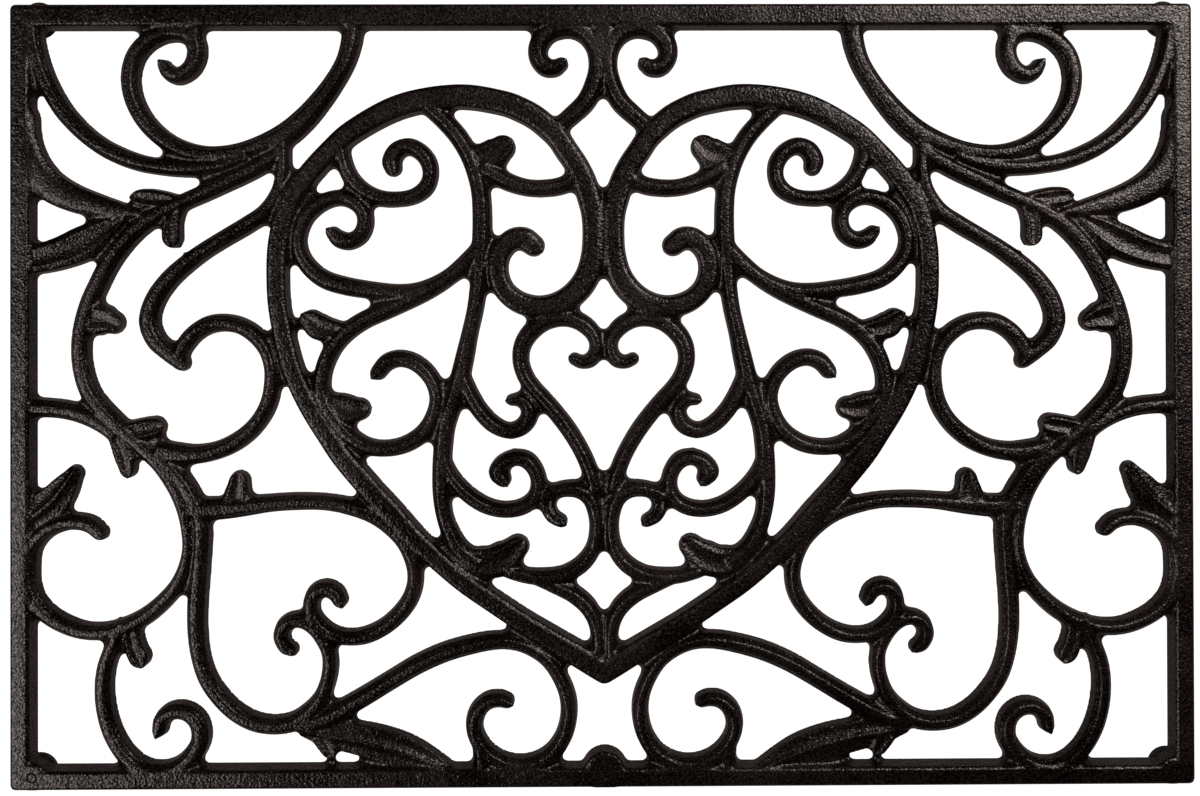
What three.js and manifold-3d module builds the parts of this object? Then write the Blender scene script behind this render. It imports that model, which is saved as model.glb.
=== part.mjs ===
// Cast iron door mat: an oblong frame of four rails around a heart of scrolls, vines and leaves,
// standing on four screwed-on round feet. Millimetres, +Z up, origin on the floor under the middle.
// +X runs along the long rails and +Y from the heart's point towards its lobes.

import * as THREE from 'three';
import { mergeVertices } from 'three/addons/utils/BufferGeometryUtils.js';
import Module from 'manifold-3d';

const wasm = await Module();
wasm.setup();

// Overall sizes
const MAT_LENGTH = 600;
const MAT_DEPTH = 398;
const CASTING_HEIGHT = 10;

// Rails, measured across their undersides
const SIDE_RAIL_WIDTH = 11;
const TOP_RAIL_WIDTH = 13;
const BOTTOM_RAIL_WIDTH = 11;
const RAIL_CHAMFER = 0.8;
// How far each wall leans in between the underside and the top
const DRAFT = 1.4;

// Cross-sections: height of the middle ridge and of the shoulders on each side of it
const BAND_RIDGE_HEIGHT = 10;
const BAND_SHOULDER_HEIGHT = 8.8;
const BAR_RIDGE_HEIGHT = 9.2;
const BAR_SHOULDER_HEIGHT = 6.4;
const LEAF_RIDGE_HEIGHT = 8.6;
const LEAF_SHOULDER_HEIGHT = 6.8;
// A stroke narrower than this has a ridge that sinks towards its shoulders
const FULL_RIDGE_HALF_WIDTH = 3.6;

// How far the pattern's outermost roots run in under the rails, which cut them back
const ROOT_DEPTH_IN_SIDE_RAIL = 5;
const ROOT_DEPTH_IN_LONG_RAIL = 6.5;
// Width of the ornament's bars, and the width that they are drawn with
const BAR_WIDTH = 9;
const DRAWN_BAR_WIDTH = 9;

// Feet, the pads above them and the screws that hold them
const FOOT_RADIUS = 9.3;
const FOOT_HEIGHT = 3;
const FOOT_EDGE_ROUNDING = 0.8;
const PAD_RADIUS = 7;
const PAD_INSET_FROM_SIDE = 12.5;
const PAD_INSET_FROM_LONG_EDGE = 7.9;
const SCREW_RADIUS = 2.2;
const SCREW_HEAD_RADIUS = 4;
const SCREW_HEAD_HEIGHT = 1.4;
const SCREW_HEAD_RECESS = 0.5;
const SCREW_CLEARANCE = 0.3;

// Round boss in the middle of the bottom rail
const BOSS_RADIUS = 11.7;
const BOSS_HEIGHT = 7.5;
const BOSS_WALL_HEIGHT = 4;
// How far the boss's middle lies behind the rail's inner wall
const BOSS_DEPTH_INTO_RAIL = 2.2;

// Clearance between neighbouring castings
const JOINT_GAP = 0.3;

// Fineness of the facets
const CHORD_ERROR = 0.4;
const LONGEST_STEP = 18;
const ROUND_END_STEPS = 2;
const DISC_SEGMENTS = 20;
// Facets that deviate less than this from a flat face are joined
const FLATNESS = 0.01;
// Height by which a cutting body stands past the body that it cuts
const CUT_MARGIN = 1;

const openingLength = MAT_LENGTH - 2 * SIDE_RAIL_WIDTH;
const openingDepth = MAT_DEPTH - TOP_RAIL_WIDTH - BOTTOM_RAIL_WIDTH;
const openingMiddleY = (BOTTOM_RAIL_WIDTH - TOP_RAIL_WIDTH) / 2;
const castingBottom = FOOT_HEIGHT;

// Materials

const castIron = new THREE.MeshStandardMaterial({ color: 0x1e1915, roughness: 0.42, metalness: 0.55 });
const footRubber = new THREE.MeshStandardMaterial({ color: 0x151413, roughness: 0.85, metalness: 0 });
const screwSteel = new THREE.MeshStandardMaterial({ color: 0x2a2723, roughness: 0.4, metalness: 0.9 });

// Solids and their booleans

function toSolid(geometry) {
  const bare = geometry.clone();
  bare.deleteAttribute('normal');
  bare.deleteAttribute('uv');
  const merged = mergeVertices(bare, 1e-4);
  return new wasm.Manifold(new wasm.Mesh({
    numProp: 3,
    vertProperties: new Float32Array(merged.attributes.position.array),
    triVerts: new Uint32Array(merged.index.array),
  }));
}

function toGeometry(solid) {
  const mesh = solid.asOriginal().simplify(FLATNESS).getMesh();
  const geometry = new THREE.BufferGeometry();
  geometry.setAttribute('position', new THREE.BufferAttribute(mesh.vertProperties, 3));
  geometry.setIndex(new THREE.BufferAttribute(mesh.triVerts, 1));
  return geometry;
}

function union(solids) {
  return solids.reduce((whole, solid) => whole.add(solid));
}

// Where cuts leave loose crumbs beside the body, the body alone is kept
function mainBody(solid) {
  return solid.decompose().reduce((main, piece) => (piece.volume() > main.volume() ? piece : main));
}

// A closed body from rings of points, each ring convex and running the same way round
function skinRings(rings) {
  const count = rings[0].length;
  const positions = rings.flat(2);
  const faces = [];
  for (let r = 0; r + 1 < rings.length; r += 1) {
    for (let p = 0; p < count; p += 1) {
      const a = r * count + p;
      const b = r * count + ((p + 1) % count);
      faces.push(a, b, a + count, b, b + count, a + count);
    }
  }
  const last = (rings.length - 1) * count;
  for (let p = 1; p + 1 < count; p += 1) {
    faces.push(0, p + 1, p);
    faces.push(last, last + p, last + p + 1);
  }
  const geometry = new THREE.BufferGeometry();
  geometry.setAttribute('position', new THREE.Float32BufferAttribute(positions, 3));
  geometry.setIndex(faces);
  return toSolid(geometry);
}

// Cross-sections: each gives points [across, up] from the left foot over the ridge to the right foot

function ridgedSection(ridgeHeight, shoulderHeight) {
  return (halfWidth) => {
    const lean = Math.min((DRAFT * shoulderHeight) / CASTING_HEIGHT, 0.45 * halfWidth);
    const fullness = Math.min(1, halfWidth / FULL_RIDGE_HALF_WIDTH);
    const ridge = shoulderHeight + (ridgeHeight - shoulderHeight) * fullness;
    return [
      [-halfWidth, 0],
      [-halfWidth + lean, shoulderHeight],
      [0, ridge],
      [halfWidth - lean, shoulderHeight],
      [halfWidth, 0],
    ];
  };
}

// The cutting section keeps the joint gap along the drafted wall and stands past both faces
function cuttingSection(halfWidth) {
  const slope = DRAFT / CASTING_HEIGHT;
  const low = halfWidth + JOINT_GAP + slope * CUT_MARGIN;
  const high = Math.max(halfWidth + JOINT_GAP - slope * (CASTING_HEIGHT + CUT_MARGIN), 0.4 * halfWidth);
  return [
    [-low, -CUT_MARGIN],
    [-high, CASTING_HEIGHT + CUT_MARGIN],
    [high, CASTING_HEIGHT + CUT_MARGIN],
    [low, -CUT_MARGIN],
  ];
}

const SECTIONS = {
  band: ridgedSection(BAND_RIDGE_HEIGHT, BAND_SHOULDER_HEIGHT),
  bar: ridgedSection(BAR_RIDGE_HEIGHT, BAR_SHOULDER_HEIGHT),
  leaf: ridgedSection(LEAF_RIDGE_HEIGHT, LEAF_SHOULDER_HEIGHT),
};

// Strokes: a drawn path of [x, y, half width] points, swept with a section

// Stations closer together where the path bends more
function stationsAlong(curve) {
  const stations = [0];
  const fine = Math.ceil(curve.getLength());
  const tangentAt = (u) => curve.getTangentAt(u).setZ(0).normalize();
  let from = 0;
  for (let i = 1; i <= fine; i += 1) {
    const u = i / fine;
    const length = (u - from) * curve.getLength();
    const turn = tangentAt(from).angleTo(tangentAt(u));
    const outerEdge = length / 2 + (turn * curve.getPointAt(u).z) / 2;
    const bulge = (outerEdge * turn) / 4;
    if (bulge > CHORD_ERROR || length > LONGEST_STEP || i === fine) {
      stations.push(u);
      from = u;
    }
  }
  return stations;
}

function ringAt(centre, tangent, halfWidth, section) {
  return section(halfWidth).map(([across, up]) => [
    centre.x + tangent.y * across,
    centre.y - tangent.x * across,
    castingBottom + up,
  ]);
}

function roundEndRings(centre, outward, halfWidth, section) {
  const rings = [];
  for (let i = 1; i <= ROUND_END_STEPS; i += 1) {
    const angle = (i / (ROUND_END_STEPS + 0.3)) * (Math.PI / 2);
    const tip = centre.clone().addScaledVector(outward, halfWidth * Math.sin(angle));
    rings.push({ tip, halfWidth: halfWidth * Math.cos(angle) });
  }
  return rings.map((ring) => (tangent) => ringAt(ring.tip, tangent, ring.halfWidth, section));
}

function sweepStroke(stroke, section) {
  const points = stroke.path.map(fitToFrame);
  const curve = new THREE.CatmullRomCurve3(points, false, 'centripetal');
  const rings = stationsAlong(curve).map((u) => {
    const point = curve.getPointAt(u);
    const tangent = curve.getTangentAt(u).setZ(0).normalize();
    return ringAt(new THREE.Vector3(point.x, point.y, 0), tangent, point.z, section);
  });
  const capEnd = (u, outwardSign) => {
    const point = curve.getPointAt(u);
    const tangent = curve.getTangentAt(u).setZ(0).normalize();
    const outward = tangent.clone().multiplyScalar(outwardSign);
    const centre = new THREE.Vector3(point.x, point.y, 0);
    return roundEndRings(centre, outward, point.z, section).map((ring) => ring(tangent));
  };
  if (stroke.roundStart) {
    rings.unshift(...capEnd(0, -1).reverse());
  }
  if (stroke.roundEnd) {
    rings.push(...capEnd(1, 1));
  }
  return skinRings(rings);
}

const band = (path) => ({ kind: 'band', path, roundEnd: true });
const bar = (path) => ({ kind: 'bar', path });
const scroll = (path) => ({ kind: 'bar', path, roundEnd: true });
const leaf = (path) => ({ kind: 'leaf', path, roundEnd: true });

// The pattern's left half, from the strongest stroke to the weakest: each one gives way to those before it.
// A point is [x, y, half width] and a path runs from the root to the free tip.

const pattern = {
  heart: [
    band([
      [7, -142.2, 6.6], [0, -138, 6.6], [-13, -130, 6.4], [-26, -122, 6], [-40, -113.6, 5.8], [-55, -103.6, 5.7],
      [-70, -93.3, 5.6], [-83, -82.3, 5.6], [-95.5, -70.3, 5.8], [-106.5, -58, 6], [-115, -49, 6.1],
      [-123.6, -39.2, 6.1], [-132.2, -29, 5.8], [-139.2, -18.6, 5.6], [-145.6, -8.6, 5.5], [-151, 1.4, 5.5],
      [-155.2, 11, 5.5], [-158.4, 21, 5.5], [-161.2, 33, 5.5], [-163.4, 46, 5.5], [-164.2, 60, 5.5],
      [-163.8, 74, 5.5], [-161.8, 86, 5.5], [-158.5, 96, 5.6], [-153.5, 105, 5.8], [-146.5, 114, 5.9],
      [-137.3, 123.9, 5.9], [-126.6, 133.5, 6], [-107.4, 144.4, 6.3], [-90, 149.5, 6.4], [-70, 151.3, 6.4],
      [-51.7, 148.4, 6.3], [-42.5, 145.2, 6.3], [-33.2, 140, 6.2], [-23.5, 131.2, 6], [-18.5, 124, 6],
      [-13.7, 116.9, 6], [-10, 109.5, 6.1], [-7.2, 101, 6.2], [-5.4, 92, 5.7], [-5.1, 82, 5.4], [-5.6, 71, 5.7],
      [-8.3, 60.2, 6.3], [-14.8, 51.6, 6.3], [-23.6, 46.4, 6], [-33.5, 45, 5.7], [-43.3, 47.8, 5.5],
      [-50.5, 54.3, 5.3], [-53.3, 63.2, 5.2], [-52, 72, 5.4], [-46.5, 78.6, 5.7], [-40.3, 79.4, 5.9],
      [-35.2, 76, 5.5],
    ]),
  ],
  cleft_scroll: [
    scroll([
      [-24, 135, 4.4], [-15.8, 141.8, 4.8], [-8.5, 149, 5], [-4.2, 158, 5], [-2.6, 167, 4.6], [-3.8, 176, 4.8],
      [-9, 183, 5], [-17, 186.3, 5.4], [-26.6, 184.2, 5.4], [-31.9, 178.3, 5.2], [-32.8, 171.5, 4.7],
      [-29.2, 166.3, 4.6], [-24.4, 165.7, 4.3], [-21.3, 167.6, 3.7],
    ]),
    bar([[-2, 172, 3], [-2, 188, 5.5]]),
  ],
  corner_scroll: [
    scroll([
      [-126.6, 191, 5.6], [-126.7, 181, 5.4], [-129.8, 169.5, 5], [-135.6, 159, 5.1], [-143.3, 148.4, 5.6],
      [-152.3, 138.5, 6.2], [-162, 131, 6.4], [-175, 125.9, 5.2], [-187, 122.8, 4.8], [-200, 121.9, 4.8],
      [-212, 124.6, 4.8], [-222.5, 130.7, 4.6], [-230.9, 139.4, 4.6], [-236.4, 150, 4.6], [-238.1, 161, 4.7],
      [-235.7, 171.3, 4.8], [-229.7, 178.7, 4.8], [-221.4, 183, 4.6], [-213, 183.5, 4.4], [-206, 180, 4.8],
      [-204.7, 172.7, 4.9], [-207.5, 165.8, 4.7], [-213.5, 162, 4.4], [-218.6, 163.5, 4], [-220.9, 166.8, 2.9],
    ]),
    bar([[-206, 176, 4.2], [-205.2, 190, 5.2]]),
  ],
  lobe_stem: [
    bar([
      [-92, 149, 4], [-85.8, 144.2, 4.4], [-79.5, 138.4, 4.6], [-73.2, 131.2, 4.7], [-67.8, 122.1, 4.7],
      [-64.2, 112.6, 4.7], [-62, 103, 4.8], [-61.3, 92, 4.9], [-61.4, 80, 5], [-62.4, 68, 4.9], [-63.2, 56, 4.4],
      [-64.9, 44, 4.2], [-67.6, 32, 4.2], [-70.2, 20, 4.7], [-73, 8, 5], [-76.6, -4, 5], [-80, -15, 4.9],
      [-81.4, -27, 4.8], [-82, -39, 4.8], [-81.9, -50, 4.6], [-80.4, -60.5, 4.3], [-77, -69.6, 4.7], [-72.6, -77, 5.2],
      [-63, -84.5, 5],
    ]),
    leaf([[-64, 120, 6], [-59.2, 121.4, 7.2], [-54.4, 122.8, 8], [-51, 125.4, 6.7]]),
    leaf([[-73, -77, 4], [-66, -82.2, 6.9], [-57, -83.5, 8.2], [-49.4, -80.6, 8.4], [-43.8, -75.6, 6.1]]),
    bar([
      [-61, 115.5, 4.8], [-54.6, 111.7, 4.8], [-47, 107.8, 4.5], [-38, 105.3, 4.3], [-28.5, 105.1, 4.4], [-20, 106.7, 4.5],
      [-12, 111, 4.5],
    ]),
  ],
  inner_scroll: [
    scroll([
      [-72.6, 63.7, 3.6], [-80.8, 57.8, 4], [-89.7, 52.9, 4.5], [-99.7, 48, 4.5], [-109.7, 43.6, 4.6],
      [-119.7, 39.2, 4.6], [-127.7, 34.2, 4.7], [-134.3, 27.8, 4.6], [-139, 20, 4.5], [-141.6, 12, 4.4],
      [-142.2, 3.4, 4.5], [-139.6, -4.4, 4.3], [-134.6, -12, 4.2], [-127.5, -19.8, 4.2], [-119, -25, 4.3],
      [-109.5, -26.1, 4.2], [-99.9, -24, 4.3], [-91.5, -18.6, 4.4], [-86.2, -10.7, 4.3], [-83.9, -1.5, 4.2],
      [-85.7, 6.7, 4.2], [-90.2, 13.2, 4.3], [-96.4, 17.7, 4.3], [-103.3, 19.2, 4.3], [-109.5, 17.2, 4.4],
      [-113.8, 12.4, 4.1],
    ]),
    leaf([[-131, 33, 4.6], [-138, 34, 5.8], [-143.6, 35.4, 6.9], [-147.1, 38.2, 5.9]]),
    leaf([[-139, -3.4, 6], [-132.5, -5.5, 7.4], [-126.3, -6.5, 6.8], [-123.3, -6.2, 5.8]]),
  ],
  lobe_hook: [
    scroll([
      [-64.5, 73.4, 4], [-70.2, 66.8, 4.5], [-78, 60.3, 4.3], [-87, 55.6, 4.2], [-96, 53, 4.2], [-106, 52.6, 4.2],
      [-118, 53.8, 4.4], [-130, 55.8, 4.6], [-140.6, 59.1, 4.6], [-148.1, 64.9, 4.4], [-152.7, 72.4, 4.1],
      [-153.5, 81, 3.9], [-149.9, 90.6, 4.1], [-142.5, 97.6, 4.3], [-134, 100.4, 4.1], [-126.4, 98.8, 4.2],
      [-121.2, 93.8, 4.2], [-120.2, 87.2, 4.2], [-122.7, 81.4, 4.3], [-128.1, 78.4, 4.3], [-133.4, 79.6, 4.4],
      [-136.4, 82.4, 3.6],
    ]),
  ],
  lobe_spiral: [
    scroll([
      [-132.4, 129, 4], [-131.1, 119.4, 4.1], [-127.7, 110.8, 4.2], [-121.2, 104, 4.2], [-113, 100.2, 4.1],
      [-104, 99.6, 3.9], [-96, 101, 4], [-90, 105, 4.2], [-87.4, 111, 4], [-88.1, 117.8, 4.2], [-92.1, 123.3, 4.2],
      [-98.2, 126.2, 4.3], [-104, 124, 4.8], [-106.9, 118.7, 4.9], [-106.1, 115.5, 4.5],
    ]),
  ],
  lower_scroll: [
    scroll([
      [-81, -30, 3.2], [-78.4, -37.8, 4], [-73.5, -44.6, 4.1], [-66.9, -50.7, 4.2], [-59.2, -55.2, 4.2],
      [-50.6, -57.2, 4.1], [-42, -56.1, 4.2], [-35.5, -51.8, 4.1], [-33, -45.4, 4.1], [-34.1, -38.4, 4.1],
      [-38.5, -32.5, 4.4], [-44.7, -31, 4.2], [-50.7, -33.6, 4.4], [-53.6, -38.5, 4.7], [-51.1, -41.5, 4.3],
    ]),
  ],
  centre_scroll: [
    bar([
      [-31, -51, 3.6], [-26.5, -48.6, 4], [-19.5, -46.8, 4.2], [-12.5, -47.2, 4.6], [-6.8, -51.6, 4.4], [-4.1, -59.5, 4],
      [-3.7, -68, 3.8], [-5.6, -77, 4], [-11.2, -84.7, 4.4], [-19.8, -89.6, 4.3], [-30, -91, 4.2], [-39, -90.4, 4],
      [-48, -88, 3.8],
    ]),
    leaf([[-27.5, -50, 4.4], [-28.2, -55.5, 4], [-26, -60.3, 3.8], [-21.9, -62.8, 3.4]]),
    bar([
      [-44, -88.4, 3.4], [-35, -91.3, 3.6], [-25, -95.4, 4.1], [-15.8, -99.6, 4.6], [-8.8, -105.5, 4.6],
      [-4.8, -112.4, 4.2], [-3.3, -120, 3.7], [-3.3, -130, 3.6],
    ]),
  ],
  centre_heart: [
    scroll([
      [-4.4, -48, 4.2], [-6, -41, 4.2], [-9.3, -32, 4.1], [-13.5, -23.8, 4.1], [-18.6, -15.8, 4.2],
      [-24.3, -8.4, 4.2], [-30, -1.8, 4.2], [-35.4, 4, 4.2], [-39.7, 10.4, 4.2], [-41.9, 18, 4.2], [-41, 25.7, 4.4],
      [-36.9, 32.3, 4.7], [-30.4, 37.4, 4.7], [-22.4, 39.6, 4.6], [-14.7, 38.7, 4.5], [-8.2, 34.9, 4.4],
      [-4, 29.2, 3.9], [-3.7, 23, 3.7], [-6.5, 18.2, 3.7], [-11.2, 17.1, 3.3], [-14.7, 18.7, 2.7],
    ]),
  ],
  stem_scroll: [
    scroll([
      [-72.5, 13.4, 4], [-69.7, 5.6, 4.4], [-66.2, -1.4, 4.4], [-61.9, -8, 4.4], [-55.8, -14.1, 4.4],
      [-48.7, -17.3, 4.1], [-42.1, -15.9, 4.3], [-38, -11.1, 4.4], [-37.8, -5.3, 4.1], [-41.5, -1.7, 3.7],
      [-46.5, -1.9, 3],
    ]),
  ],
  upper_vine: [
    scroll([
      [-160, 127, 3.6], [-165.7, 121.2, 4.4], [-173.2, 116.5, 4.7], [-181.6, 112.2, 4.8], [-190.1, 108.2, 4.7],
      [-200.2, 103.4, 4.5], [-210.2, 99, 4.4], [-220.2, 94.2, 4.6], [-229.8, 88.6, 4.9], [-237.2, 82.4, 5],
      [-243.7, 74.9, 5], [-249.3, 66.6, 5], [-254, 57.3, 5], [-258.6, 47, 5], [-261.9, 35, 4.9], [-263, 23, 4.7],
      [-261.6, 12, 4.8], [-258, 2, 4.9], [-252, -5.8, 4.9], [-245, -12.8, 4.8], [-237.6, -19.8, 4.5],
      [-230.2, -26.6, 4.4], [-223.7, -32.9, 4.4], [-218, -40.5, 4.5], [-213.5, -49, 4.3], [-210.6, -58, 3.9],
      [-209.1, -67, 3.6], [-208.8, -76, 3.5], [-210.8, -85.5, 3.7], [-215.4, -94.9, 4], [-222.5, -103.1, 4.2],
      [-231, -110, 4.4], [-240.5, -114.8, 4.5], [-250.5, -117.2, 4.3], [-260.5, -117.1, 4.3], [-269.7, -114.3, 4.5],
      [-278.6, -109.3, 4.6], [-285.7, -102, 4.9], [-289.1, -93, 5.2], [-289.3, -83, 5.2], [-287, -74.2, 4.5],
      [-280.5, -66.8, 4.1], [-272.1, -63, 4.1], [-264, -62.2, 4.3], [-257.6, -64, 4.3], [-253.4, -67.6, 4],
    ]),
    leaf([[-213, 98.4, 3.2], [-220, 99, 4.7], [-227.4, 99.7, 5.4], [-232.3, 100.2, 5]]),
    leaf([[-214, 96.5, 4.2], [-216.6, 89, 4.8], [-217.1, 82.3, 5.1], [-217, 80.5, 5.1]]),
    leaf([[-262, 41, 7.4], [-256, 39.8, 8.2], [-250.4, 39, 7.6], [-247, 37.8, 5.9]]),
    leaf([[-240, -17.2, 5.2], [-234, -16.2, 5.6], [-228.5, -15.2, 5.6], [-225.7, -14.7, 5.4]]),
  ],
  corner_fern: [
    bar([
      [-287, 192, 4.6], [-286.4, 180.5, 4.7], [-283.8, 169, 4.7], [-279.4, 157.5, 4.7], [-272.6, 145.6, 4.6],
      [-266, 137.7, 4.5], [-258.9, 131, 4.4], [-251.4, 125.7, 4.4], [-243.6, 121.8, 4.4], [-236.5, 119.1, 4.3],
      [-229, 117.2, 4.2], [-215, 115.4, 4.2], [-202, 115.4, 4.2], [-190, 117.2, 3.7], [-179, 120.7, 2.9],
    ]),
  ],
  corner_leaf: [
    leaf([
      [-291, 147, 3], [-289.8, 142, 5.2], [-289.4, 134, 5.5], [-288.4, 126, 6.1], [-285, 115.8, 7.3],
      [-278, 106.6, 8], [-267.6, 100.8, 7.2], [-255.4, 96.8, 6.1], [-244, 94, 4.8], [-233.5, 92.5, 2.6],
    ]),
  ],
  rail_stalk: [
    leaf([
      [-292, 69, 7.2], [-282, 70.5, 7.8], [-271.5, 73.5, 8.5], [-261.5, 77.8, 9], [-251.6, 83.5, 7.2], [-243, 88.6, 3.6],
    ]),
  ],
  side_stem: [
    bar([
      [-292, -4.9, 5.2], [-281, -5, 4.9], [-270, -6.2, 4.8], [-260, -9.2, 4.7], [-251.2, -14, 4.4], [-245, -19, 4.2],
    ]),
    leaf([[-246, -17.5, 3.6], [-242.7, -24, 5], [-240.3, -30.7, 5.2], [-239.2, -35.8, 4.2]]),
  ],
  side_leaf: [
    leaf([[-291, -64, 5.6], [-284.4, -58.2, 8], [-276.4, -51.6, 8.4], [-270.9, -44.7, 7], [-266.3, -38, 4.4]]),
  ],
  hook_scroll: [
    scroll([
      [-160.8, 124, 3.4], [-161.5, 112.4, 3.9], [-163.8, 102.9, 4.1], [-170.2, 93.4, 4.4], [-179.8, 86.7, 4.5],
      [-189.8, 80.8, 4.4], [-199.8, 74.7, 4.4], [-209.9, 67.4, 4.7], [-219, 59, 4.9], [-225.9, 49, 5.1],
      [-228.6, 38.4, 5.2], [-225.4, 29.2, 5.1], [-218.6, 22.6, 4.8], [-212.4, 17.5, 4.3],
    ]),
  ],
  return_scroll: [
    bar([
      [-213.5, 20.6, 3.8], [-210.8, 26.6, 4.5], [-205.6, 32.6, 4.6], [-198.9, 36.5, 4.6], [-191, 37.5, 4.4],
      [-183, 35.9, 4.3], [-175.5, 31.2, 4.4], [-169.9, 24.1, 4.2], [-167.2, 15.7, 4.1], [-167, 7, 4.2],
      [-168.4, -1.4, 4.3], [-172.1, -9.4, 4.3], [-178.1, -16.8, 4.4], [-185.9, -22.7, 4.5], [-194.9, -26.7, 4.5],
      [-205, -28.6, 4.9], [-214.5, -28.4, 5.6], [-224, -25.8, 4.8],
    ]),
  ],
  stem_loop: [
    scroll([
      [-208, -56, 5.6], [-201, -56, 5.9], [-192.6, -55.8, 5.8], [-182, -55, 5.2], [-168, -53.4, 4.5],
      [-154, -52.6, 4.4], [-140, -53, 4.2], [-128, -55.2, 4.4], [-116.7, -59.2, 4.5], [-107.7, -65.3, 4.5],
      [-100.4, -73.3, 4.4], [-96.2, -83.2, 4.2], [-95.3, -92, 4.1], [-97.3, -100.5, 4.2], [-102.3, -108.2, 4.3],
      [-109.8, -115.1, 4.3], [-118.6, -119.6, 4.3], [-127.3, -121, 4.1], [-135.5, -119.6, 4.1], [-142.4, -115.4, 4.3],
      [-146.9, -109.2, 4.2], [-147.4, -102.6, 4.2], [-144.7, -97.9, 4.4], [-139.8, -96.2, 4.4], [-135.3, -98.3, 4.4],
      [-133.1, -101.9, 4],
    ]),
    leaf([[-185, -54, 8.2], [-184.3, -48, 6.8], [-183.6, -43.4, 5.6], [-183.5, -42.1, 5.3]]),
  ],
  lower_loop: [
    scroll([
      [-224, -28.6, 3.2], [-216.8, -35.6, 4.2], [-210.8, -43, 4.4], [-205.8, -52, 4.5], [-202.8, -61, 4.6],
      [-202.2, -70, 4.6], [-202.8, -80, 4.6], [-203.7, -90, 4.8], [-204.6, -100, 4.9], [-205, -108, 4.9],
      [-204.8, -118, 4.8], [-203.3, -129.6, 4.6], [-199.8, -140.6, 4.6], [-193.8, -149.8, 4.6], [-185.9, -157.7, 4.6],
      [-176.4, -163, 4.6], [-166, -164.8, 4.6], [-156, -163.1, 4.8], [-148.2, -158.1, 4.8], [-142.8, -151.5, 4.2],
      [-139.7, -144, 4], [-138.2, -136.5, 4], [-138.5, -128.8, 3.9], [-141.2, -122, 4.1], [-145.3, -116.5, 4],
      [-150.5, -112.7, 4.1], [-156.1, -112, 4.1], [-160.9, -114.9, 4.2], [-162.5, -120.2, 4.1], [-160.2, -125.2, 3.9],
      [-157.5, -126.7, 3.5],
    ]),
  ],
  tail_scroll: [
    scroll([
      [-154, -165, 4.2], [-144, -162.6, 4.9], [-133, -157.6, 5], [-120, -150.3, 4.9], [-106.9, -142.4, 4.8],
      [-93.9, -134.8, 4.9], [-80.9, -129, 4.9], [-67.9, -125.2, 4.8], [-55.5, -123, 4.6], [-45, -123.6, 4.3],
      [-36, -127, 4.2], [-28, -133, 4.2], [-22.2, -142, 4.1], [-18.5, -152, 4.2], [-18.2, -162, 4.2],
      [-21, -171.9, 4.4], [-27.1, -180.1, 4.7], [-36, -184.7, 4.8], [-46, -185.3, 4.8], [-55.5, -181.7, 4.6],
      [-62.5, -174.7, 4.4], [-65.7, -166.4, 4.3], [-63.9, -158.4, 4.4], [-58.5, -153.2, 4.3], [-52.6, -152.3, 4.1],
      [-49.3, -153.2, 3.8],
    ]),
    bar([[-62.4, -175, 4.4], [-60.6, -190, 5.4]]),
  ],
  tail_leaf: [
    leaf([
      [-152, -166.2, 3.8], [-140, -168.8, 6.6], [-127, -171, 8], [-113, -174.2, 8.6], [-99, -178.5, 8],
      [-87, -183.2, 5.6], [-77, -187, 2.6],
    ]),
    leaf([[-142, -171, 5.4], [-138.8, -176, 5.4], [-137.2, -178.8, 4.8]]),
  ],
  corner_spiral: [
    scroll([
      [-241, -112.5, 4], [-244.5, -119.4, 4.2], [-247.7, -126.7, 4.3], [-250.6, -135.5, 4.4], [-251.6, -146, 4.5],
      [-250.4, -157.6, 4.6], [-246.8, -169, 4.7], [-240.3, -179.2, 4.7], [-231.6, -185.8, 4.7], [-222, -187.4, 4.7],
      [-213.2, -184.9, 4.8], [-206.5, -178.8, 4.9], [-202.9, -170.8, 4.9], [-204.3, -162.7, 4.8], [-210, -157.7, 4.6],
      [-217, -157.4, 4.4], [-222.3, -161.3, 4.2], [-223.5, -166.2, 3.9],
    ]),
    leaf([[-237, -112.5, 4], [-236.6, -120.5, 4.7], [-235.1, -127, 5.2], [-233.6, -129.9, 5.4]]),
  ],
};

// The drawn pattern fills the opening whatever its size, with its outermost roots under the rails

const drawnPoints = Object.values(pattern).flat().flatMap((stroke) => stroke.path);
const drawnHalfLength = Math.max(...drawnPoints.map(([x]) => Math.abs(x)));
const drawnHalfDepth = Math.max(...drawnPoints.map(([, y]) => Math.abs(y)));
const lengthScale = (openingLength / 2 + ROOT_DEPTH_IN_SIDE_RAIL) / drawnHalfLength;
const depthScale = (openingDepth / 2 + ROOT_DEPTH_IN_LONG_RAIL) / drawnHalfDepth;
const widthScale = BAR_WIDTH / DRAWN_BAR_WIDTH;

function fitToFrame([x, y, halfWidth]) {
  return new THREE.Vector3(x * lengthScale, openingMiddleY + y * depthScale, halfWidth * widthScale);
}

// Rails: a drafted bar with chamfered top edges, from one end to the other along its own length

function railSection(innerBase, outerBase) {
  const side = Math.sign(outerBase);
  const innerTop = innerBase + side * DRAFT;
  const outerTop = outerBase - side * DRAFT;
  return [
    [innerBase, 0],
    [innerTop, CASTING_HEIGHT - RAIL_CHAMFER],
    [innerTop + side * RAIL_CHAMFER, CASTING_HEIGHT],
    [outerTop - side * RAIL_CHAMFER, CASTING_HEIGHT],
    [outerTop, CASTING_HEIGHT - RAIL_CHAMFER],
    [outerBase, 0],
  ];
}

// Rail along X at positive or negative Y, drafted at its two ends as well
function longRail(innerY, outerY) {
  const ring = (endX, lean) => railSection(innerY, outerY).map(([y, up]) => [
    endX - (Math.sign(endX) * lean * up) / CASTING_HEIGHT,
    y,
    castingBottom + up,
  ]);
  const rings = [ring(-MAT_LENGTH / 2, DRAFT), ring(MAT_LENGTH / 2, DRAFT)];
  return skinRings(outerY > 0 ? rings.reverse() : rings);
}

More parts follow.
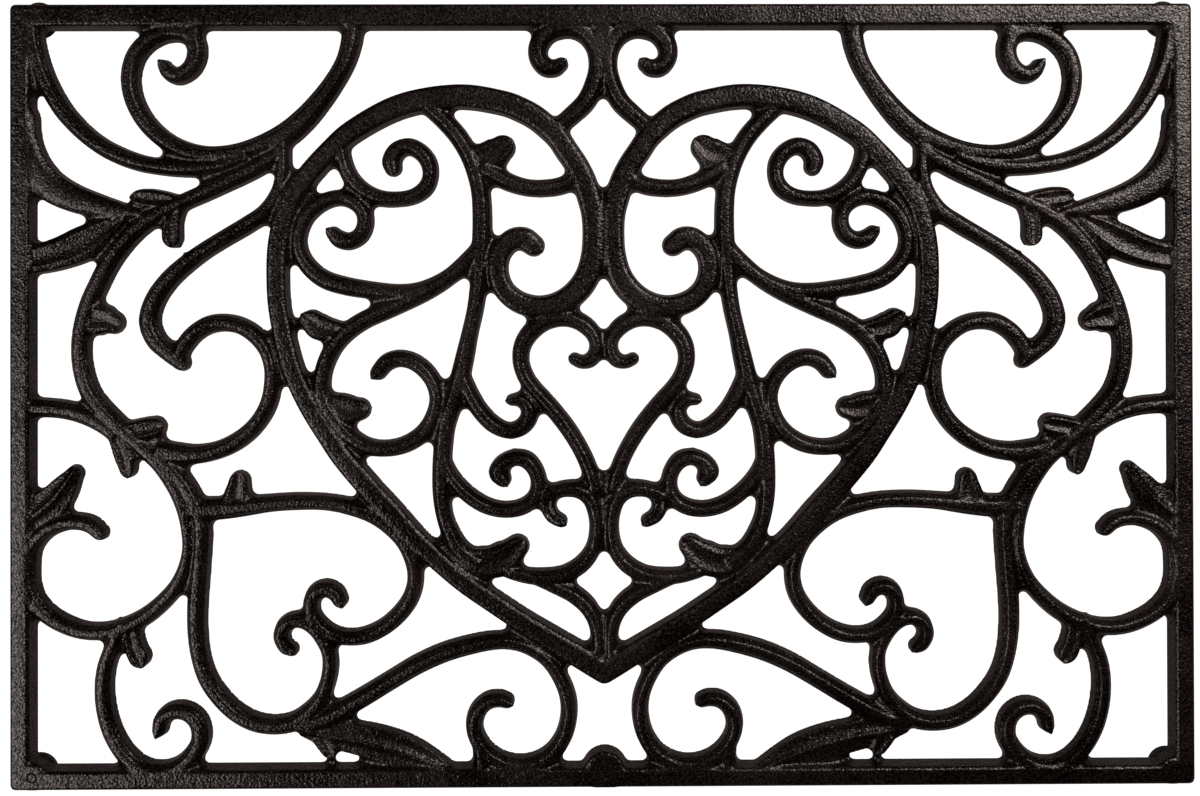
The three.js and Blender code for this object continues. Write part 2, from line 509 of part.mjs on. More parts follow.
// Rail along Y at the left, running in under both long rails, which cut it to length
function leftRail() {
  const outerX = -MAT_LENGTH / 2;
  const innerX = outerX + SIDE_RAIL_WIDTH;
  const ring = (endY) => railSection(innerX, outerX).map(([x, up]) => [x, endY, castingBottom + up]);
  return skinRings([ring(MAT_DEPTH / 2 - DRAFT), ring(-MAT_DEPTH / 2 + DRAFT)]);
}

// Box that takes away everything on the frame side of a rail's inner wall, less the joint gap
function longRailCutter(innerY) {
  const side = Math.sign(innerY);
  const slope = DRAFT / CASTING_HEIGHT;
  const near = (up) => innerY - side * (JOINT_GAP - slope * up);
  const far = side * MAT_DEPTH;
  const low = -CUT_MARGIN;
  const high = CASTING_HEIGHT + CUT_MARGIN;
  const ring = (x) => [
    [x, near(low), castingBottom + low],
    [x, near(high), castingBottom + high],
    [x, far, castingBottom + high],
    [x, far, castingBottom + low],
  ];
  const rings = [ring(-MAT_LENGTH), ring(MAT_LENGTH)];
  return skinRings(side > 0 ? rings.reverse() : rings);
}

function leftRailCutter() {
  const innerX = -MAT_LENGTH / 2 + SIDE_RAIL_WIDTH;
  const slope = DRAFT / CASTING_HEIGHT;
  const near = (up) => innerX + JOINT_GAP - slope * up;
  const low = -CUT_MARGIN;
  const high = CASTING_HEIGHT + CUT_MARGIN;
  const ring = (y) => [
    [near(low), y, castingBottom + low],
    [near(high), y, castingBottom + high],
    [-MAT_LENGTH, y, castingBottom + high],
    [-MAT_LENGTH, y, castingBottom + low],
  ];
  return skinRings([ring(MAT_DEPTH), ring(-MAT_DEPTH)]);
}

// Round bodies, turned from [radius, height] outlines

function turned(outline, x, y) {
  const points = outline.map(([radius, height]) => new THREE.Vector2(radius, height));
  const geometry = new THREE.LatheGeometry(points, DISC_SEGMENTS);
  geometry.rotateX(Math.PI / 2);
  geometry.translate(x, y, 0);
  return toSolid(geometry);
}

const padX = MAT_LENGTH / 2 - PAD_INSET_FROM_SIDE;
const padY = MAT_DEPTH / 2 - PAD_INSET_FROM_LONG_EDGE;
const castingTop = castingBottom + CASTING_HEIGHT;

function footPad(x, y) {
  return turned([
    [0, castingBottom],
    [PAD_RADIUS + DRAFT, castingBottom],
    [PAD_RADIUS, castingTop - RAIL_CHAMFER],
    [PAD_RADIUS - RAIL_CHAMFER, castingTop],
    [0, castingTop],
  ], x, y);
}

function screwHole(x, y) {
  const radius = SCREW_RADIUS + SCREW_CLEARANCE;
  return turned([
    [0, -CUT_MARGIN],
    [radius, -CUT_MARGIN],
    [radius, castingTop + CUT_MARGIN],
    [0, castingTop + CUT_MARGIN],
  ], x, y);
}

function footPadCutter(x, y) {
  const radius = PAD_RADIUS + DRAFT + JOINT_GAP;
  return turned([
    [0, castingBottom - CUT_MARGIN],
    [radius, castingBottom - CUT_MARGIN],
    [radius - DRAFT, castingTop + CUT_MARGIN],
    [0, castingTop + CUT_MARGIN],
  ], x, y);
}

function foot(x, y) {
  const hole = SCREW_RADIUS + SCREW_CLEARANCE;
  const recess = SCREW_HEAD_RADIUS + SCREW_CLEARANCE;
  const recessTop = SCREW_HEAD_RECESS + SCREW_HEAD_HEIGHT + SCREW_CLEARANCE;
  return turned([
    [hole, FOOT_HEIGHT],
    [hole, recessTop],
    [recess, recessTop],
    [recess, 0],
    [FOOT_RADIUS - FOOT_EDGE_ROUNDING, 0],
    [FOOT_RADIUS, FOOT_EDGE_ROUNDING],
    [FOOT_RADIUS, FOOT_HEIGHT],
    [hole, FOOT_HEIGHT],
  ], x, y);
}

function footScrew(x, y) {
  const headTop = SCREW_HEAD_RECESS + SCREW_HEAD_HEIGHT;
  return turned([
    [0, SCREW_HEAD_RECESS],
    [SCREW_HEAD_RADIUS, SCREW_HEAD_RECESS],
    [SCREW_HEAD_RADIUS, headTop],
    [SCREW_RADIUS, headTop],
    [SCREW_RADIUS, castingTop],
    [0, castingTop],
  ], x, y);
}

// Domed boss behind the bottom rail's inner wall
function centreBoss(y) {
  return turned([
    [0, castingBottom],
    [BOSS_RADIUS, castingBottom],
    [BOSS_RADIUS - DRAFT / 2, castingBottom + BOSS_WALL_HEIGHT],
    [BOSS_RADIUS * 0.72, castingBottom + (BOSS_WALL_HEIGHT + 2 * BOSS_HEIGHT) / 3],
    [BOSS_RADIUS * 0.36, castingBottom + BOSS_HEIGHT],
    [0, castingBottom + BOSS_HEIGHT],
  ], 0, y);
}

// Assembly

const mat = new THREE.Group();

function addMesh(name, solid, material) {
  const mesh = new THREE.Mesh(toGeometry(solid), material);
  mesh.name = name;
  mat.add(mesh);
}

function addMirroredPair(name, solid, material) {
  addMesh(`${name}_left`, solid, material);
  addMesh(`${name}_right`, solid.mirror([1, 0, 0]), material);
}

function buildRails() {
  const topInner = MAT_DEPTH / 2 - TOP_RAIL_WIDTH;
  const bottomInner = -MAT_DEPTH / 2 + BOTTOM_RAIL_WIDTH;
  // Pads and boss stop at the frame's outer walls
  const wholeBlock = longRail(-MAT_DEPTH / 2, MAT_DEPTH / 2);
  const padsAndHoles = (rail, y) => {
    const pads = footPad(-padX, y).add(footPad(padX, y)).intersect(wholeBlock);
    return rail.add(pads).subtract(screwHole(-padX, y)).subtract(screwHole(padX, y));
  };
  const boss = centreBoss(bottomInner - BOSS_DEPTH_INTO_RAIL).intersect(wholeBlock);
  const topRail = padsAndHoles(longRail(topInner, MAT_DEPTH / 2), padY);
  const bottomRail = padsAndHoles(longRail(bottomInner, -MAT_DEPTH / 2).add(boss), -padY);
  const longCutters = union([
    longRailCutter(topInner),
    longRailCutter(bottomInner),
    footPadCutter(-padX, padY),
    footPadCutter(-padX, -padY),
  ]);
  addMesh('top_rail', topRail, castIron);
  addMesh('bottom_rail', bottomRail, castIron);
  addMirroredPair('side_rail', mainBody(leftRail().subtract(longCutters)), castIron);
  return longCutters.add(leftRailCutter());
}

// Everything on the right of the middle, less half the joint gap
function rightHalfCutter() {
  const box = new THREE.BoxGeometry(MAT_LENGTH, MAT_DEPTH, 4 * castingTop);
  box.translate(MAT_LENGTH / 2 - JOINT_GAP / 2, 0, 0);
  return toSolid(box);
}

function buildPattern(frameCutter) {
  let cutter = frameCutter.add(rightHalfCutter());
  for (const [name, strokes] of Object.entries(pattern)) {
    const body = union(strokes.map((stroke) => sweepStroke(stroke, SECTIONS[stroke.kind])));
    addMirroredPair(name, mainBody(body.subtract(cutter)), castIron);
    cutter = cutter.add(union(strokes.map((stroke) => sweepStroke(stroke, cuttingSection))));
  }
}

function buildFeet() {
  const corners = {
    back_left: [-padX, padY],
    back_right: [padX, padY],
    front_left: [-padX, -padY],
    front_right: [padX, -padY],
  };
  for (const [corner, [x, y]] of Object.entries(corners)) {
    addMesh(`foot_${corner}`, foot(x, y), footRubber);
    addMesh(`foot_screw_${corner}`, footScrew(x, y), screwSteel);
  }
}

buildPattern(buildRails());
buildFeet();

export default mat;
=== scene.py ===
"""Cast iron door mat: a heart of scrolls, vines and leaves in a plain rail frame, on four small feet.

Laid out as an add-on. Everything is in metres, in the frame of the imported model: the floor is z = 0, +X
runs along the long rails and +Y from the heart's point towards its lobes. Only the drawn pattern and its
sections are in millimetres.
"""

import math
from collections import namedtuple

import bmesh
import bpy
import numpy as np
from mathutils import Euler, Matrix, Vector


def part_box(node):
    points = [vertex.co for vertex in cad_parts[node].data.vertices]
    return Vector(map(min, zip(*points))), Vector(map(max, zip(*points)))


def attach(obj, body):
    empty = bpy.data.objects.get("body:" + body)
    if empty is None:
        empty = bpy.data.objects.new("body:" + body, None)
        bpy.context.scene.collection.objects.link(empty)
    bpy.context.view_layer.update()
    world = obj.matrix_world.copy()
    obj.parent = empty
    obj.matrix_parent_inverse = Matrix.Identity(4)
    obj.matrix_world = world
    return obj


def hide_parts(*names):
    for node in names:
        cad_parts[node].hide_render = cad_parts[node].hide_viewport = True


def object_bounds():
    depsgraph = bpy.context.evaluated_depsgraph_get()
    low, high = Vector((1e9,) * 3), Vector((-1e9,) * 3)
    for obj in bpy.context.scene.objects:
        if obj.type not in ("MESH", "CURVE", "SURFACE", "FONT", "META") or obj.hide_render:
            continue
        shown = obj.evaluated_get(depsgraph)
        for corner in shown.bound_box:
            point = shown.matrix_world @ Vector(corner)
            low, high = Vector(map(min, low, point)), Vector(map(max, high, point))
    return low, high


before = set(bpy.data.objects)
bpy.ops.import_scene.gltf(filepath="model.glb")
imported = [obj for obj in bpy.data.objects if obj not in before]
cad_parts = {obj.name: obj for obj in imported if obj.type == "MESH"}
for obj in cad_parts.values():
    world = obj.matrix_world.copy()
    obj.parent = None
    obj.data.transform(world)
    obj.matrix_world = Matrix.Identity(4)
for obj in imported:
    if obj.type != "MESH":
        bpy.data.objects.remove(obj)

bl_info = {
    "name": "Cast iron door mat",
    "version": (1, 0, 0),
    "blender": (4, 5, 0),
    "location": "View3D > Sidebar > Door mat",
    "description": "Builds the openwork casting, its feet and its fixings around the packed model",
    "category": "Object",
}

MM = 0.001
CAD_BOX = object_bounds()
TOP_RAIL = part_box("top_rail")
SIDE_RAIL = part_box("side_rail_left")
BACK_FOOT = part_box("foot_back_left")
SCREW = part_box("foot_screw_back_left")
CASTING_BOTTOM = TOP_RAIL[0].z
CASTING_HEIGHT = TOP_RAIL[1].z - TOP_RAIL[0].z

# The rails: widths across their undersides, how much wider the cast ones are than the packed
# model's, how their walls and top edges are shaped, and how far the end of the one screw that shows
# stands proud of them
RAIL_WIDTH = SIDE_RAIL[1].x - SIDE_RAIL[0].x
TOP_RAIL_WIDTH = 13 * MM
SIDE_FLARE = 1.2 * MM
TOP_FLARE = 0.8 * MM
BOTTOM_FLARE = 1.2 * MM
DRAFT = 1.4 * MM
RAIL_EDGE = 1.1 * MM
FRAME_CORNER_RADIUS = 2.5 * MM
FRAME_CORNER_STEPS = 5
SCREW_PROUD = 0.25 * MM
RAIL_HEIGHT = CASTING_HEIGHT - SCREW_PROUD
FRAME_HALF_LENGTH = TOP_RAIL[1].x
FRAME_HALF_DEPTH = TOP_RAIL[1].y

# The pads over the feet, the screw whose end shows in its pad, how deep the other ends lie under
# theirs, and the boss in the middle of the bottom rail
PAD_CENTRE = (BACK_FOOT[0] + BACK_FOOT[1]) / 2
PAD_RADIUS = 7 * MM
BACK_PAD_HEIGHT = 5.5 * MM
SHOWING_SCREW = "foot_screw_front_left"
HIDDEN_SCREW_DEPTH = 0.4 * MM
BOSS_RADIUS = 11.7 * MM
BOSS_HEIGHT = 9.4 * MM
BOSS_DEPTH_INTO_RAIL = 2.2 * MM
ROUND_STEPS = 48

# How much wider on each side the cast bars are than they are drawn, and how far the outermost roots
# run into the rails
BAR_GROWTH = 0.35 * MM
ROOT_DEPTH_IN_SIDE_RAIL = 5 * MM
ROOT_DEPTH_IN_LONG_RAIL = 6.5 * MM

# A bar's cross-section: the heights in mm of its middle bead and of the shoulders beside it, how
# far across the bead reaches, as a share of the half width, how steep its flanks are, how deep in
# mm it is hollowed in the middle, and whether its free end is round
Section = namedtuple("Section", "bead shoulder reach steepness hollow round_tip")
BAND = Section(bead=9.8, shoulder=8.4, reach=0.86, steepness=9, hollow=0, round_tip=True)
BAR = Section(bead=9.3, shoulder=6.2, reach=0.68, steepness=7, hollow=0, round_tip=False)
SCROLL = BAR._replace(round_tip=True)
LEAF = Section(bead=9, shoulder=6.4, reach=0.84, steepness=6, hollow=1.6, round_tip=True)
SMOOTH_LEAF = LEAF._replace(hollow=0)
RIBBED_LEAF = Section(bead=9, shoulder=6.6, reach=0.24, steepness=2.4, hollow=0, round_tip=True)
WEB = Section(bead=6.6, shoulder=6, reach=0.8, steepness=2, hollow=0, round_tip=True)

# The pattern's left half, from the strongest member to the weakest: each one gives way to those
# before it. A point is [x, y, half width] in mm, and a path runs from the root to the free tip.
PATTERN = {
    "heart": [
        (BAND, [
            [2.5, -139.6, 5.6], [0, -138, 6.4], [-13, -130, 6.4], [-26, -122, 6], [-40, -113.6, 5.8],
            [-55, -103.6, 5.7], [-70, -93.3, 5.6], [-83, -82.3, 5.6], [-95.5, -70.3, 5.8],
            [-106.5, -58, 6], [-115, -49, 6.1], [-123.6, -39.2, 6.1], [-132.2, -29, 5.8],
            [-139.2, -18.6, 5.6], [-145.6, -8.6, 5.5], [-151, 1.4, 5.5], [-155.2, 11, 5.5],
            [-158.4, 21, 5.5], [-161.2, 33, 5.5], [-163.4, 46, 5.5], [-164.2, 60, 5.5], [-163.8, 74, 5.5],
            [-161.8, 86, 5.5], [-158.5, 96, 5.6], [-153.5, 105, 5.8], [-146.5, 114, 5.9],
            [-137.3, 123.9, 5.9], [-126.6, 133.5, 6], [-107.4, 144.4, 6.3], [-90, 149.5, 6.4],
            [-70, 151.3, 6.4], [-51.7, 148.4, 6.3], [-42.5, 145.2, 6.3], [-33.2, 140, 6.2],
            [-23.5, 131.2, 6], [-18.5, 124, 6], [-13.7, 116.9, 6], [-10, 109.5, 6.1], [-7.2, 101, 6.2],
            [-5.4, 92, 5.7], [-5.1, 82, 5.4], [-5.6, 71, 5.7], [-8.3, 60.2, 6.3], [-14.8, 51.6, 6.3],
            [-23.6, 46.4, 6], [-33.5, 45, 5.7], [-43.3, 47.8, 5.5], [-50.5, 54.3, 5.3],
            [-53.3, 63.2, 5.2], [-52, 72, 5.4], [-46.5, 78.6, 5.7], [-40.3, 79.4, 5.9], [-35.2, 76, 5.5],
        ]),
    ],
    "cleft_scroll": [
        (SCROLL, [
            [-24, 135, 4.4], [-15.8, 141.8, 4.8], [-8.5, 149, 5], [-4.2, 158, 5], [-2.6, 167, 4.6],
            [-3.8, 176, 4.8], [-9, 183, 5], [-17, 186.3, 5.4], [-26.6, 184.2, 5.4], [-31.9, 178.3, 5.2],
            [-32.8, 171.5, 4.7], [-29.2, 166.3, 4.6], [-24.4, 165.7, 4.3], [-21.3, 167.6, 3.7],
        ]),
        (BAR, [[-2, 172, 3], [-2, 188, 5.5]]),
    ],
    "corner_scroll": [
        (SCROLL, [
            [-126.6, 191, 5.6], [-126.7, 181, 5.4], [-129.8, 169.5, 5], [-135.6, 159, 5.1],
            [-143.3, 148.4, 5.6], [-152.3, 138.5, 6.2], [-162, 131, 6.4], [-175, 125.9, 5.2],
            [-187, 122.8, 4.8], [-200, 121.9, 4.8], [-212, 124.6, 4.8], [-222.5, 130.7, 4.6],
            [-230.9, 139.4, 4.6], [-236.4, 150, 4.6], [-238.1, 161, 4.7], [-235.7, 171.3, 4.8],
            [-229.7, 178.7, 4.8], [-221.4, 183, 4.6], [-213, 183.5, 4.4], [-206, 180, 4.8],
            [-204.7, 172.7, 4.9], [-207.5, 165.8, 4.7], [-213.5, 162, 4.4], [-218.6, 163.5, 4],
            [-220.9, 166.8, 3.4],
        ]),
        (BAR, [[-206, 176, 4.2], [-205.2, 190, 5.2]]),
    ],
    "lobe_stem": [
        (BAR, [
            [-92, 149, 4], [-85.8, 144.2, 4.4], [-79.5, 138.4, 4.6], [-73.2, 131.2, 4.7],
            [-67.8, 122.1, 4.7], [-64.2, 112.6, 4.7], [-62, 103, 4.8], [-61.3, 92, 4.9], [-61.4, 80, 5],
            [-62.4, 68, 4.9], [-63.2, 56, 4.4], [-64.9, 44, 4.2], [-67.6, 32, 4.2], [-70.2, 20, 4.7],
            [-73, 8, 5], [-76.6, -4, 5], [-80, -15, 4.9], [-81.4, -27, 4.8], [-82, -39, 4.8],
            [-81.9, -50, 4.6], [-80.4, -60.5, 4.3], [-77, -69.6, 4.7], [-72.6, -77, 5.2], [-63, -84.5, 5],
        ]),
        (LEAF, [[-64, 120, 6], [-59.2, 121.4, 7.2], [-54.4, 122.8, 8], [-51, 125.4, 6.7]]),
        (LEAF, [
            [-73, -77, 4], [-66, -82.2, 6.9], [-57, -83.5, 8.2], [-49.4, -80.6, 8.4], [-43.8, -75.6, 6.1],
        ]),
        (BAR, [
            [-61, 115.5, 4.8], [-54.6, 111.7, 4.8], [-47, 107.8, 4.5], [-38, 105.3, 4.3],
            [-28.5, 105.1, 4.4], [-20, 106.7, 4.5], [-12, 111, 4.5],
        ]),
    ],
    "inner_scroll": [
        (SCROLL, [
            [-72.6, 63.7, 3.6], [-80.8, 57.8, 4], [-89.7, 52.9, 4.5], [-99.7, 48, 4.5],
            [-109.7, 43.6, 4.6], [-119.7, 39.2, 4.6], [-127.7, 34.2, 4.7], [-134.3, 27.8, 4.6],
            [-139, 20, 4.5], [-141.6, 12, 4.4], [-142.2, 3.4, 4.5], [-139.6, -4.4, 4.3],
            [-134.6, -12, 4.2], [-127.5, -19.8, 4.2], [-119, -25, 4.3], [-109.5, -26.1, 4.2],
            [-99.9, -24, 4.3], [-91.5, -18.6, 4.4], [-86.2, -10.7, 4.3], [-83.9, -1.5, 4.2],
            [-85.7, 6.7, 4.2], [-90.2, 13.2, 4.3], [-96.4, 17.7, 4.3], [-103.3, 19.2, 4.3],
            [-109.5, 17.2, 4.4], [-113.8, 12.4, 4.1],
        ]),
        (LEAF, [[-131, 33, 4.6], [-138, 34, 5.8], [-143.6, 35.4, 6.9], [-147.1, 38.2, 5.9]]),
        (LEAF, [[-139, -3.4, 6], [-132.5, -5.5, 7.4], [-126.3, -6.5, 6.8], [-123.3, -6.2, 5.8]]),
    ],
    "lobe_hook": [
        (SCROLL, [
            [-64.5, 73.4, 4], [-70.2, 66.8, 4.5], [-78, 60.3, 4.3], [-87, 55.6, 4.2], [-96, 53, 4.2],
            [-106, 52.6, 4.2], [-118, 53.8, 4.4], [-130, 55.8, 4.6], [-140.6, 59.1, 4.6],
            [-148.1, 64.9, 4.4], [-152.7, 72.4, 4.1], [-153.5, 81, 3.9], [-149.9, 90.6, 4.1],
            [-142.5, 97.6, 4.3], [-134, 100.4, 4.1], [-126.4, 98.8, 4.2], [-121.2, 93.8, 4.2],
            [-120.2, 87.2, 4.2], [-122.7, 81.4, 4.3], [-128.1, 78.4, 4.3], [-133.4, 79.6, 4.4],
            [-136.4, 82.4, 3.6],
        ]),
    ],
    "lobe_spiral": [
        (SCROLL, [
            [-132.4, 129, 4], [-131.1, 119.4, 4.1], [-127.7, 110.8, 4.2], [-121.2, 104, 4.2],
            [-113, 100.2, 4.1], [-104, 99.6, 3.9], [-96, 101, 4], [-90, 105, 4.2], [-87.4, 111, 4],
            [-88.1, 117.8, 4.2], [-92.1, 123.3, 4.2], [-98.2, 126.2, 4.3], [-104, 124, 4.8],
            [-106.9, 118.7, 4.9], [-106.1, 115.5, 4.5],
        ]),
    ],
    "lower_scroll": [
        (SCROLL, [
            [-81, -30, 3.2], [-78.4, -37.8, 4], [-73.5, -44.6, 4.1], [-66.9, -50.7, 4.2],
            [-59.2, -55.2, 4.2], [-50.6, -57.2, 4.1], [-42, -56.1, 4.2], [-35.5, -51.8, 4.1],
            [-33, -45.4, 4.1], [-34.1, -38.4, 4.1], [-38.5, -32.5, 4.4], [-44.7, -31, 4.2],
            [-50.7, -33.6, 4.4], [-53.6, -38.5, 4.7], [-51.1, -41.5, 4.3],
        ]),
    ],
    "centre_scroll": [
        (BAR, [
            [-31, -51, 3.6], [-26.5, -48.6, 4], [-19.5, -46.8, 4.2], [-12.5, -47.2, 4.6],
            [-6.8, -51.6, 4.4], [-4.1, -59.5, 4], [-3.7, -68, 3.8], [-5.6, -77, 4], [-11.2, -84.7, 4.4],
            [-19.8, -89.6, 4.3], [-30, -91, 4.2], [-39, -90.4, 4], [-48, -88, 3.8],
        ]),
        (LEAF, [[-27.5, -50, 4.4], [-28.2, -55.5, 4], [-26, -60.3, 3.8], [-21.9, -62.8, 3.4]]),
        (BAR, [
            [-44, -88.4, 3.4], [-35, -91.3, 3.6], [-25, -95.4, 4.1], [-15.8, -99.6, 4.6],
            [-8.8, -105.5, 4.6], [-4.8, -112.4, 4.2], [-3.3, -120, 3.7], [-3.3, -130, 3.6],
        ]),
    ],
    "centre_heart": [
        (SCROLL, [
            [-4.4, -48, 4.2], [-6, -41, 4.2], [-9.3, -32, 4.1], [-13.5, -23.8, 4.1], [-18.6, -15.8, 4.2],
            [-24.3, -8.4, 4.2], [-30, -1.8, 4.2], [-35.4, 4, 4.2], [-39.7, 10.4, 4.2], [-41.9, 18, 4.2],
            [-41, 25.7, 4.4], [-36.9, 32.3, 4.7], [-30.4, 37.4, 4.7], [-22.4, 39.6, 4.6],
            [-14.7, 38.7, 4.5], [-8.2, 34.9, 4.4], [-4, 29.2, 3.9], [-3.7, 23, 3.7], [-6.5, 18.2, 3.7],
            [-11.2, 17.1, 3.3], [-14.7, 18.7, 3.2],
        ]),
        (WEB, [[-1, -49, 4], [-1, -38.4, 0.4]]),
    ],
    "stem_scroll": [
        (SCROLL, [
            [-72.5, 13.4, 4], [-69.7, 5.6, 4.4], [-66.2, -1.4, 4.4], [-61.9, -8, 4.4],
            [-55.8, -14.1, 4.4], [-48.7, -17.3, 4.1], [-42.1, -15.9, 4.3], [-38, -11.1, 4.4],
            [-37.8, -5.3, 4.1], [-41.5, -1.7, 3.7], [-46.5, -1.9, 3],
        ]),
    ],
    "upper_vine": [
        (SCROLL, [
            [-160, 127, 3.6], [-165.7, 121.2, 4.4], [-173.2, 116.5, 4.7], [-181.6, 112.2, 4.8],
            [-190.1, 108.2, 4.7], [-200.2, 103.4, 4.5], [-210.2, 99, 4.4], [-220.2, 94.2, 4.6],
            [-229.8, 88.6, 4.9], [-237.2, 82.4, 5], [-243.7, 74.9, 5], [-249.3, 66.6, 5], [-254, 57.3, 5],
            [-258.6, 47, 5], [-261.9, 35, 4.9], [-263, 23, 4.7], [-261.6, 12, 4.8], [-258, 2, 4.9],
            [-252, -5.8, 4.9], [-245, -12.8, 4.8], [-237.6, -19.8, 4.5], [-230.2, -26.6, 4.4],
            [-223.7, -32.9, 4.4], [-218, -40.5, 4.5], [-213.5, -49, 4.3], [-210.6, -58, 3.9],
            [-209.1, -67, 3.6], [-208.8, -76, 3.5], [-210.8, -85.5, 3.7], [-215.4, -94.9, 4],
            [-222.5, -103.1, 4.2], [-231, -110, 4.4], [-240.5, -114.8, 4.5], [-250.5, -117.2, 4.3],
            [-260.5, -117.1, 4.3], [-269.7, -114.3, 4.5], [-278.6, -109.3, 4.6], [-285.7, -102, 4.9],
            [-289.1, -93, 5.2], [-289.3, -83, 5.2], [-287, -74.2, 4.5], [-280.5, -66.8, 4.1],
            [-272.1, -63, 4.1], [-264, -62.2, 4.3], [-257.6, -64, 4.3], [-253.4, -67.6, 4],
        ]),
        (LEAF, [[-213, 98.4, 3.2], [-220, 99, 4.7], [-227.4, 99.7, 5.4], [-232.3, 100.2, 5]]),
        (LEAF, [[-214, 96.5, 4.2], [-216.6, 89, 4.8], [-217.1, 82.3, 5.1], [-217, 80.5, 5.1]]),
        (LEAF, [[-262, 41, 7.4], [-256, 39.8, 8.2], [-250.4, 39, 7.6], [-247, 37.8, 5.9]]),
        (LEAF, [[-240, -17.2, 5.2], [-234, -16.2, 5.6], [-228.5, -15.2, 5.6], [-225.7, -14.7, 5.4]]),
    ],
    "corner_fern": [
        (BAR, [
            [-287, 192, 4.6], [-286.4, 180.5, 4.7], [-283.8, 169, 4.7], [-279.4, 157.5, 4.7],
            [-272.6, 145.6, 4.6], [-266, 137.7, 4.5], [-258.9, 131, 4.4], [-251.4, 125.7, 4.4],
            [-243.6, 121.8, 4.4], [-236.5, 119.1, 4.3], [-229, 117.2, 4.2], [-215, 115.4, 4.2],
            [-202, 115.4, 4.2], [-190, 117.2, 3.7], [-179, 120.7, 2.9],
        ]),
    ],
    "corner_leaf": [
        (SMOOTH_LEAF, [
            [-291, 147, 3], [-289.8, 142, 5.2], [-289.4, 134, 5.5], [-288.4, 126, 6.1],
            [-285, 115.8, 7.3], [-278, 106.6, 8], [-267.6, 100.8, 7.2], [-255.4, 96.8, 6.1],
            [-244, 94, 4.8], [-233.5, 92.5, 2.6],
        ]),
    ],
    "rail_stalk": [
        (LEAF, [
            [-292, 69, 7.2], [-282, 70.5, 7.8], [-271.5, 73.5, 8.5], [-261.5, 77.8, 9],
            [-251.6, 83.5, 7.2], [-243, 88.6, 3.6],
        ]),
    ],
    "side_stem": [
        (BAR, [
            [-292, -4.9, 5.2], [-281, -5, 4.9], [-270, -6.2, 4.8], [-260, -9.2, 4.7], [-251.2, -14, 4.4],
            [-245, -19, 4.2],
        ]),
        (LEAF, [[-246, -17.5, 3.6], [-242.7, -24, 5], [-240.3, -30.7, 5.2], [-239.2, -35.8, 4.2]]),
    ],
    "side_leaf": [
        (RIBBED_LEAF, [
            [-291, -64, 5.6], [-284.4, -58.2, 8], [-276.4, -51.6, 8.4], [-270.9, -44.7, 7],
            [-266.3, -38, 4.4],
        ]),
    ],
    "hook_scroll": [
        (SCROLL, [
            [-160.8, 124, 3.4], [-161.5, 112.4, 3.9], [-163.8, 102.9, 4.1], [-170.2, 93.4, 4.4],
            [-179.8, 86.7, 4.5], [-189.8, 80.8, 4.4], [-199.8, 74.7, 4.4], [-209.9, 67.4, 4.7],
            [-219, 59, 4.9], [-225.9, 49, 5.1], [-228.6, 38.4, 5.2], [-225.4, 29.2, 5.1],
            [-218.6, 22.6, 4.8], [-212.4, 17.5, 4.3],
        ]),
    ],
    "return_scroll": [
        (BAR, [
            [-213.5, 20.6, 3.8], [-210.8, 26.6, 4.5], [-205.6, 32.6, 4.6], [-198.9, 36.5, 4.6],
            [-191, 37.5, 4.4], [-183, 35.9, 4.3], [-175.5, 31.2, 4.4], [-169.9, 24.1, 4.2],
            [-167.2, 15.7, 4.1], [-167, 7, 4.2], [-168.4, -1.4, 4.3], [-172.1, -9.4, 4.3],
            [-178.1, -16.8, 4.4], [-185.9, -22.7, 4.5], [-194.9, -26.7, 4.5], [-205, -28.6, 4.9],
            [-214.5, -28.4, 5.6], [-224, -25.8, 4.8],
        ]),
        (WEB, [[-222, -25, 3.5], [-224.5, -20, 3]]),
    ],
    "stem_loop": [
        (SCROLL, [
            [-208, -56, 5.6], [-201, -56, 5.9], [-192.6, -55.8, 5.8], [-182, -55, 5.2],
            [-168, -53.4, 4.5], [-154, -52.6, 4.4], [-140, -53, 4.2], [-128, -55.2, 4.4],
            [-116.7, -59.2, 4.5], [-107.7, -65.3, 4.5], [-100.4, -73.3, 4.4], [-96.2, -83.2, 4.2],
            [-95.3, -92, 4.1], [-97.3, -100.5, 4.2], [-102.3, -108.2, 4.3], [-109.8, -115.1, 4.3],
            [-118.6, -119.6, 4.3], [-127.3, -121, 4.1], [-135.5, -119.6, 4.1], [-142.4, -115.4, 4.3],
            [-146.9, -109.2, 4.2], [-147.4, -102.6, 4.2], [-144.7, -97.9, 4.4], [-139.8, -96.2, 4.4],
            [-135.3, -98.3, 4.4], [-133.1, -101.9, 4],
        ]),
        (LEAF, [[-185, -54, 8.2], [-184.3, -48, 6.8], [-183.6, -43.4, 5.6], [-183.5, -42.1, 5.3]]),
    ],
    "lower_loop": [
        (SCROLL, [
            [-224, -28.6, 3.2], [-216.8, -35.6, 4.2], [-210.8, -43, 4.4], [-205.8, -52, 4.5],
            [-202.8, -61, 4.6], [-202.2, -70, 4.6], [-202.8, -80, 4.6], [-203.7, -90, 4.8],
            [-204.6, -100, 4.9], [-205, -108, 4.9], [-204.8, -118, 4.8], [-203.3, -129.6, 4.6],
            [-199.8, -140.6, 4.6], [-193.8, -149.8, 4.6], [-185.9, -157.7, 4.6], [-176.4, -163, 4.6],
            [-166, -164.8, 4.6], [-156, -163.1, 4.8], [-148.2, -158.1, 4.8], [-142.8, -151.5, 4.2],
            [-139.7, -144, 4], [-138.2, -136.5, 4], [-138.5, -128.8, 3.9], [-141.2, -122, 4.1],
            [-145.3, -116.5, 4], [-150.5, -112.7, 4.1], [-156.1, -112, 4.1], [-160.9, -114.9, 4.2],
            [-162.5, -120.2, 4.1], [-160.2, -125.2, 3.9], [-157.5, -126.7, 3.5],
        ]),
    ],
    "tail_scroll": [
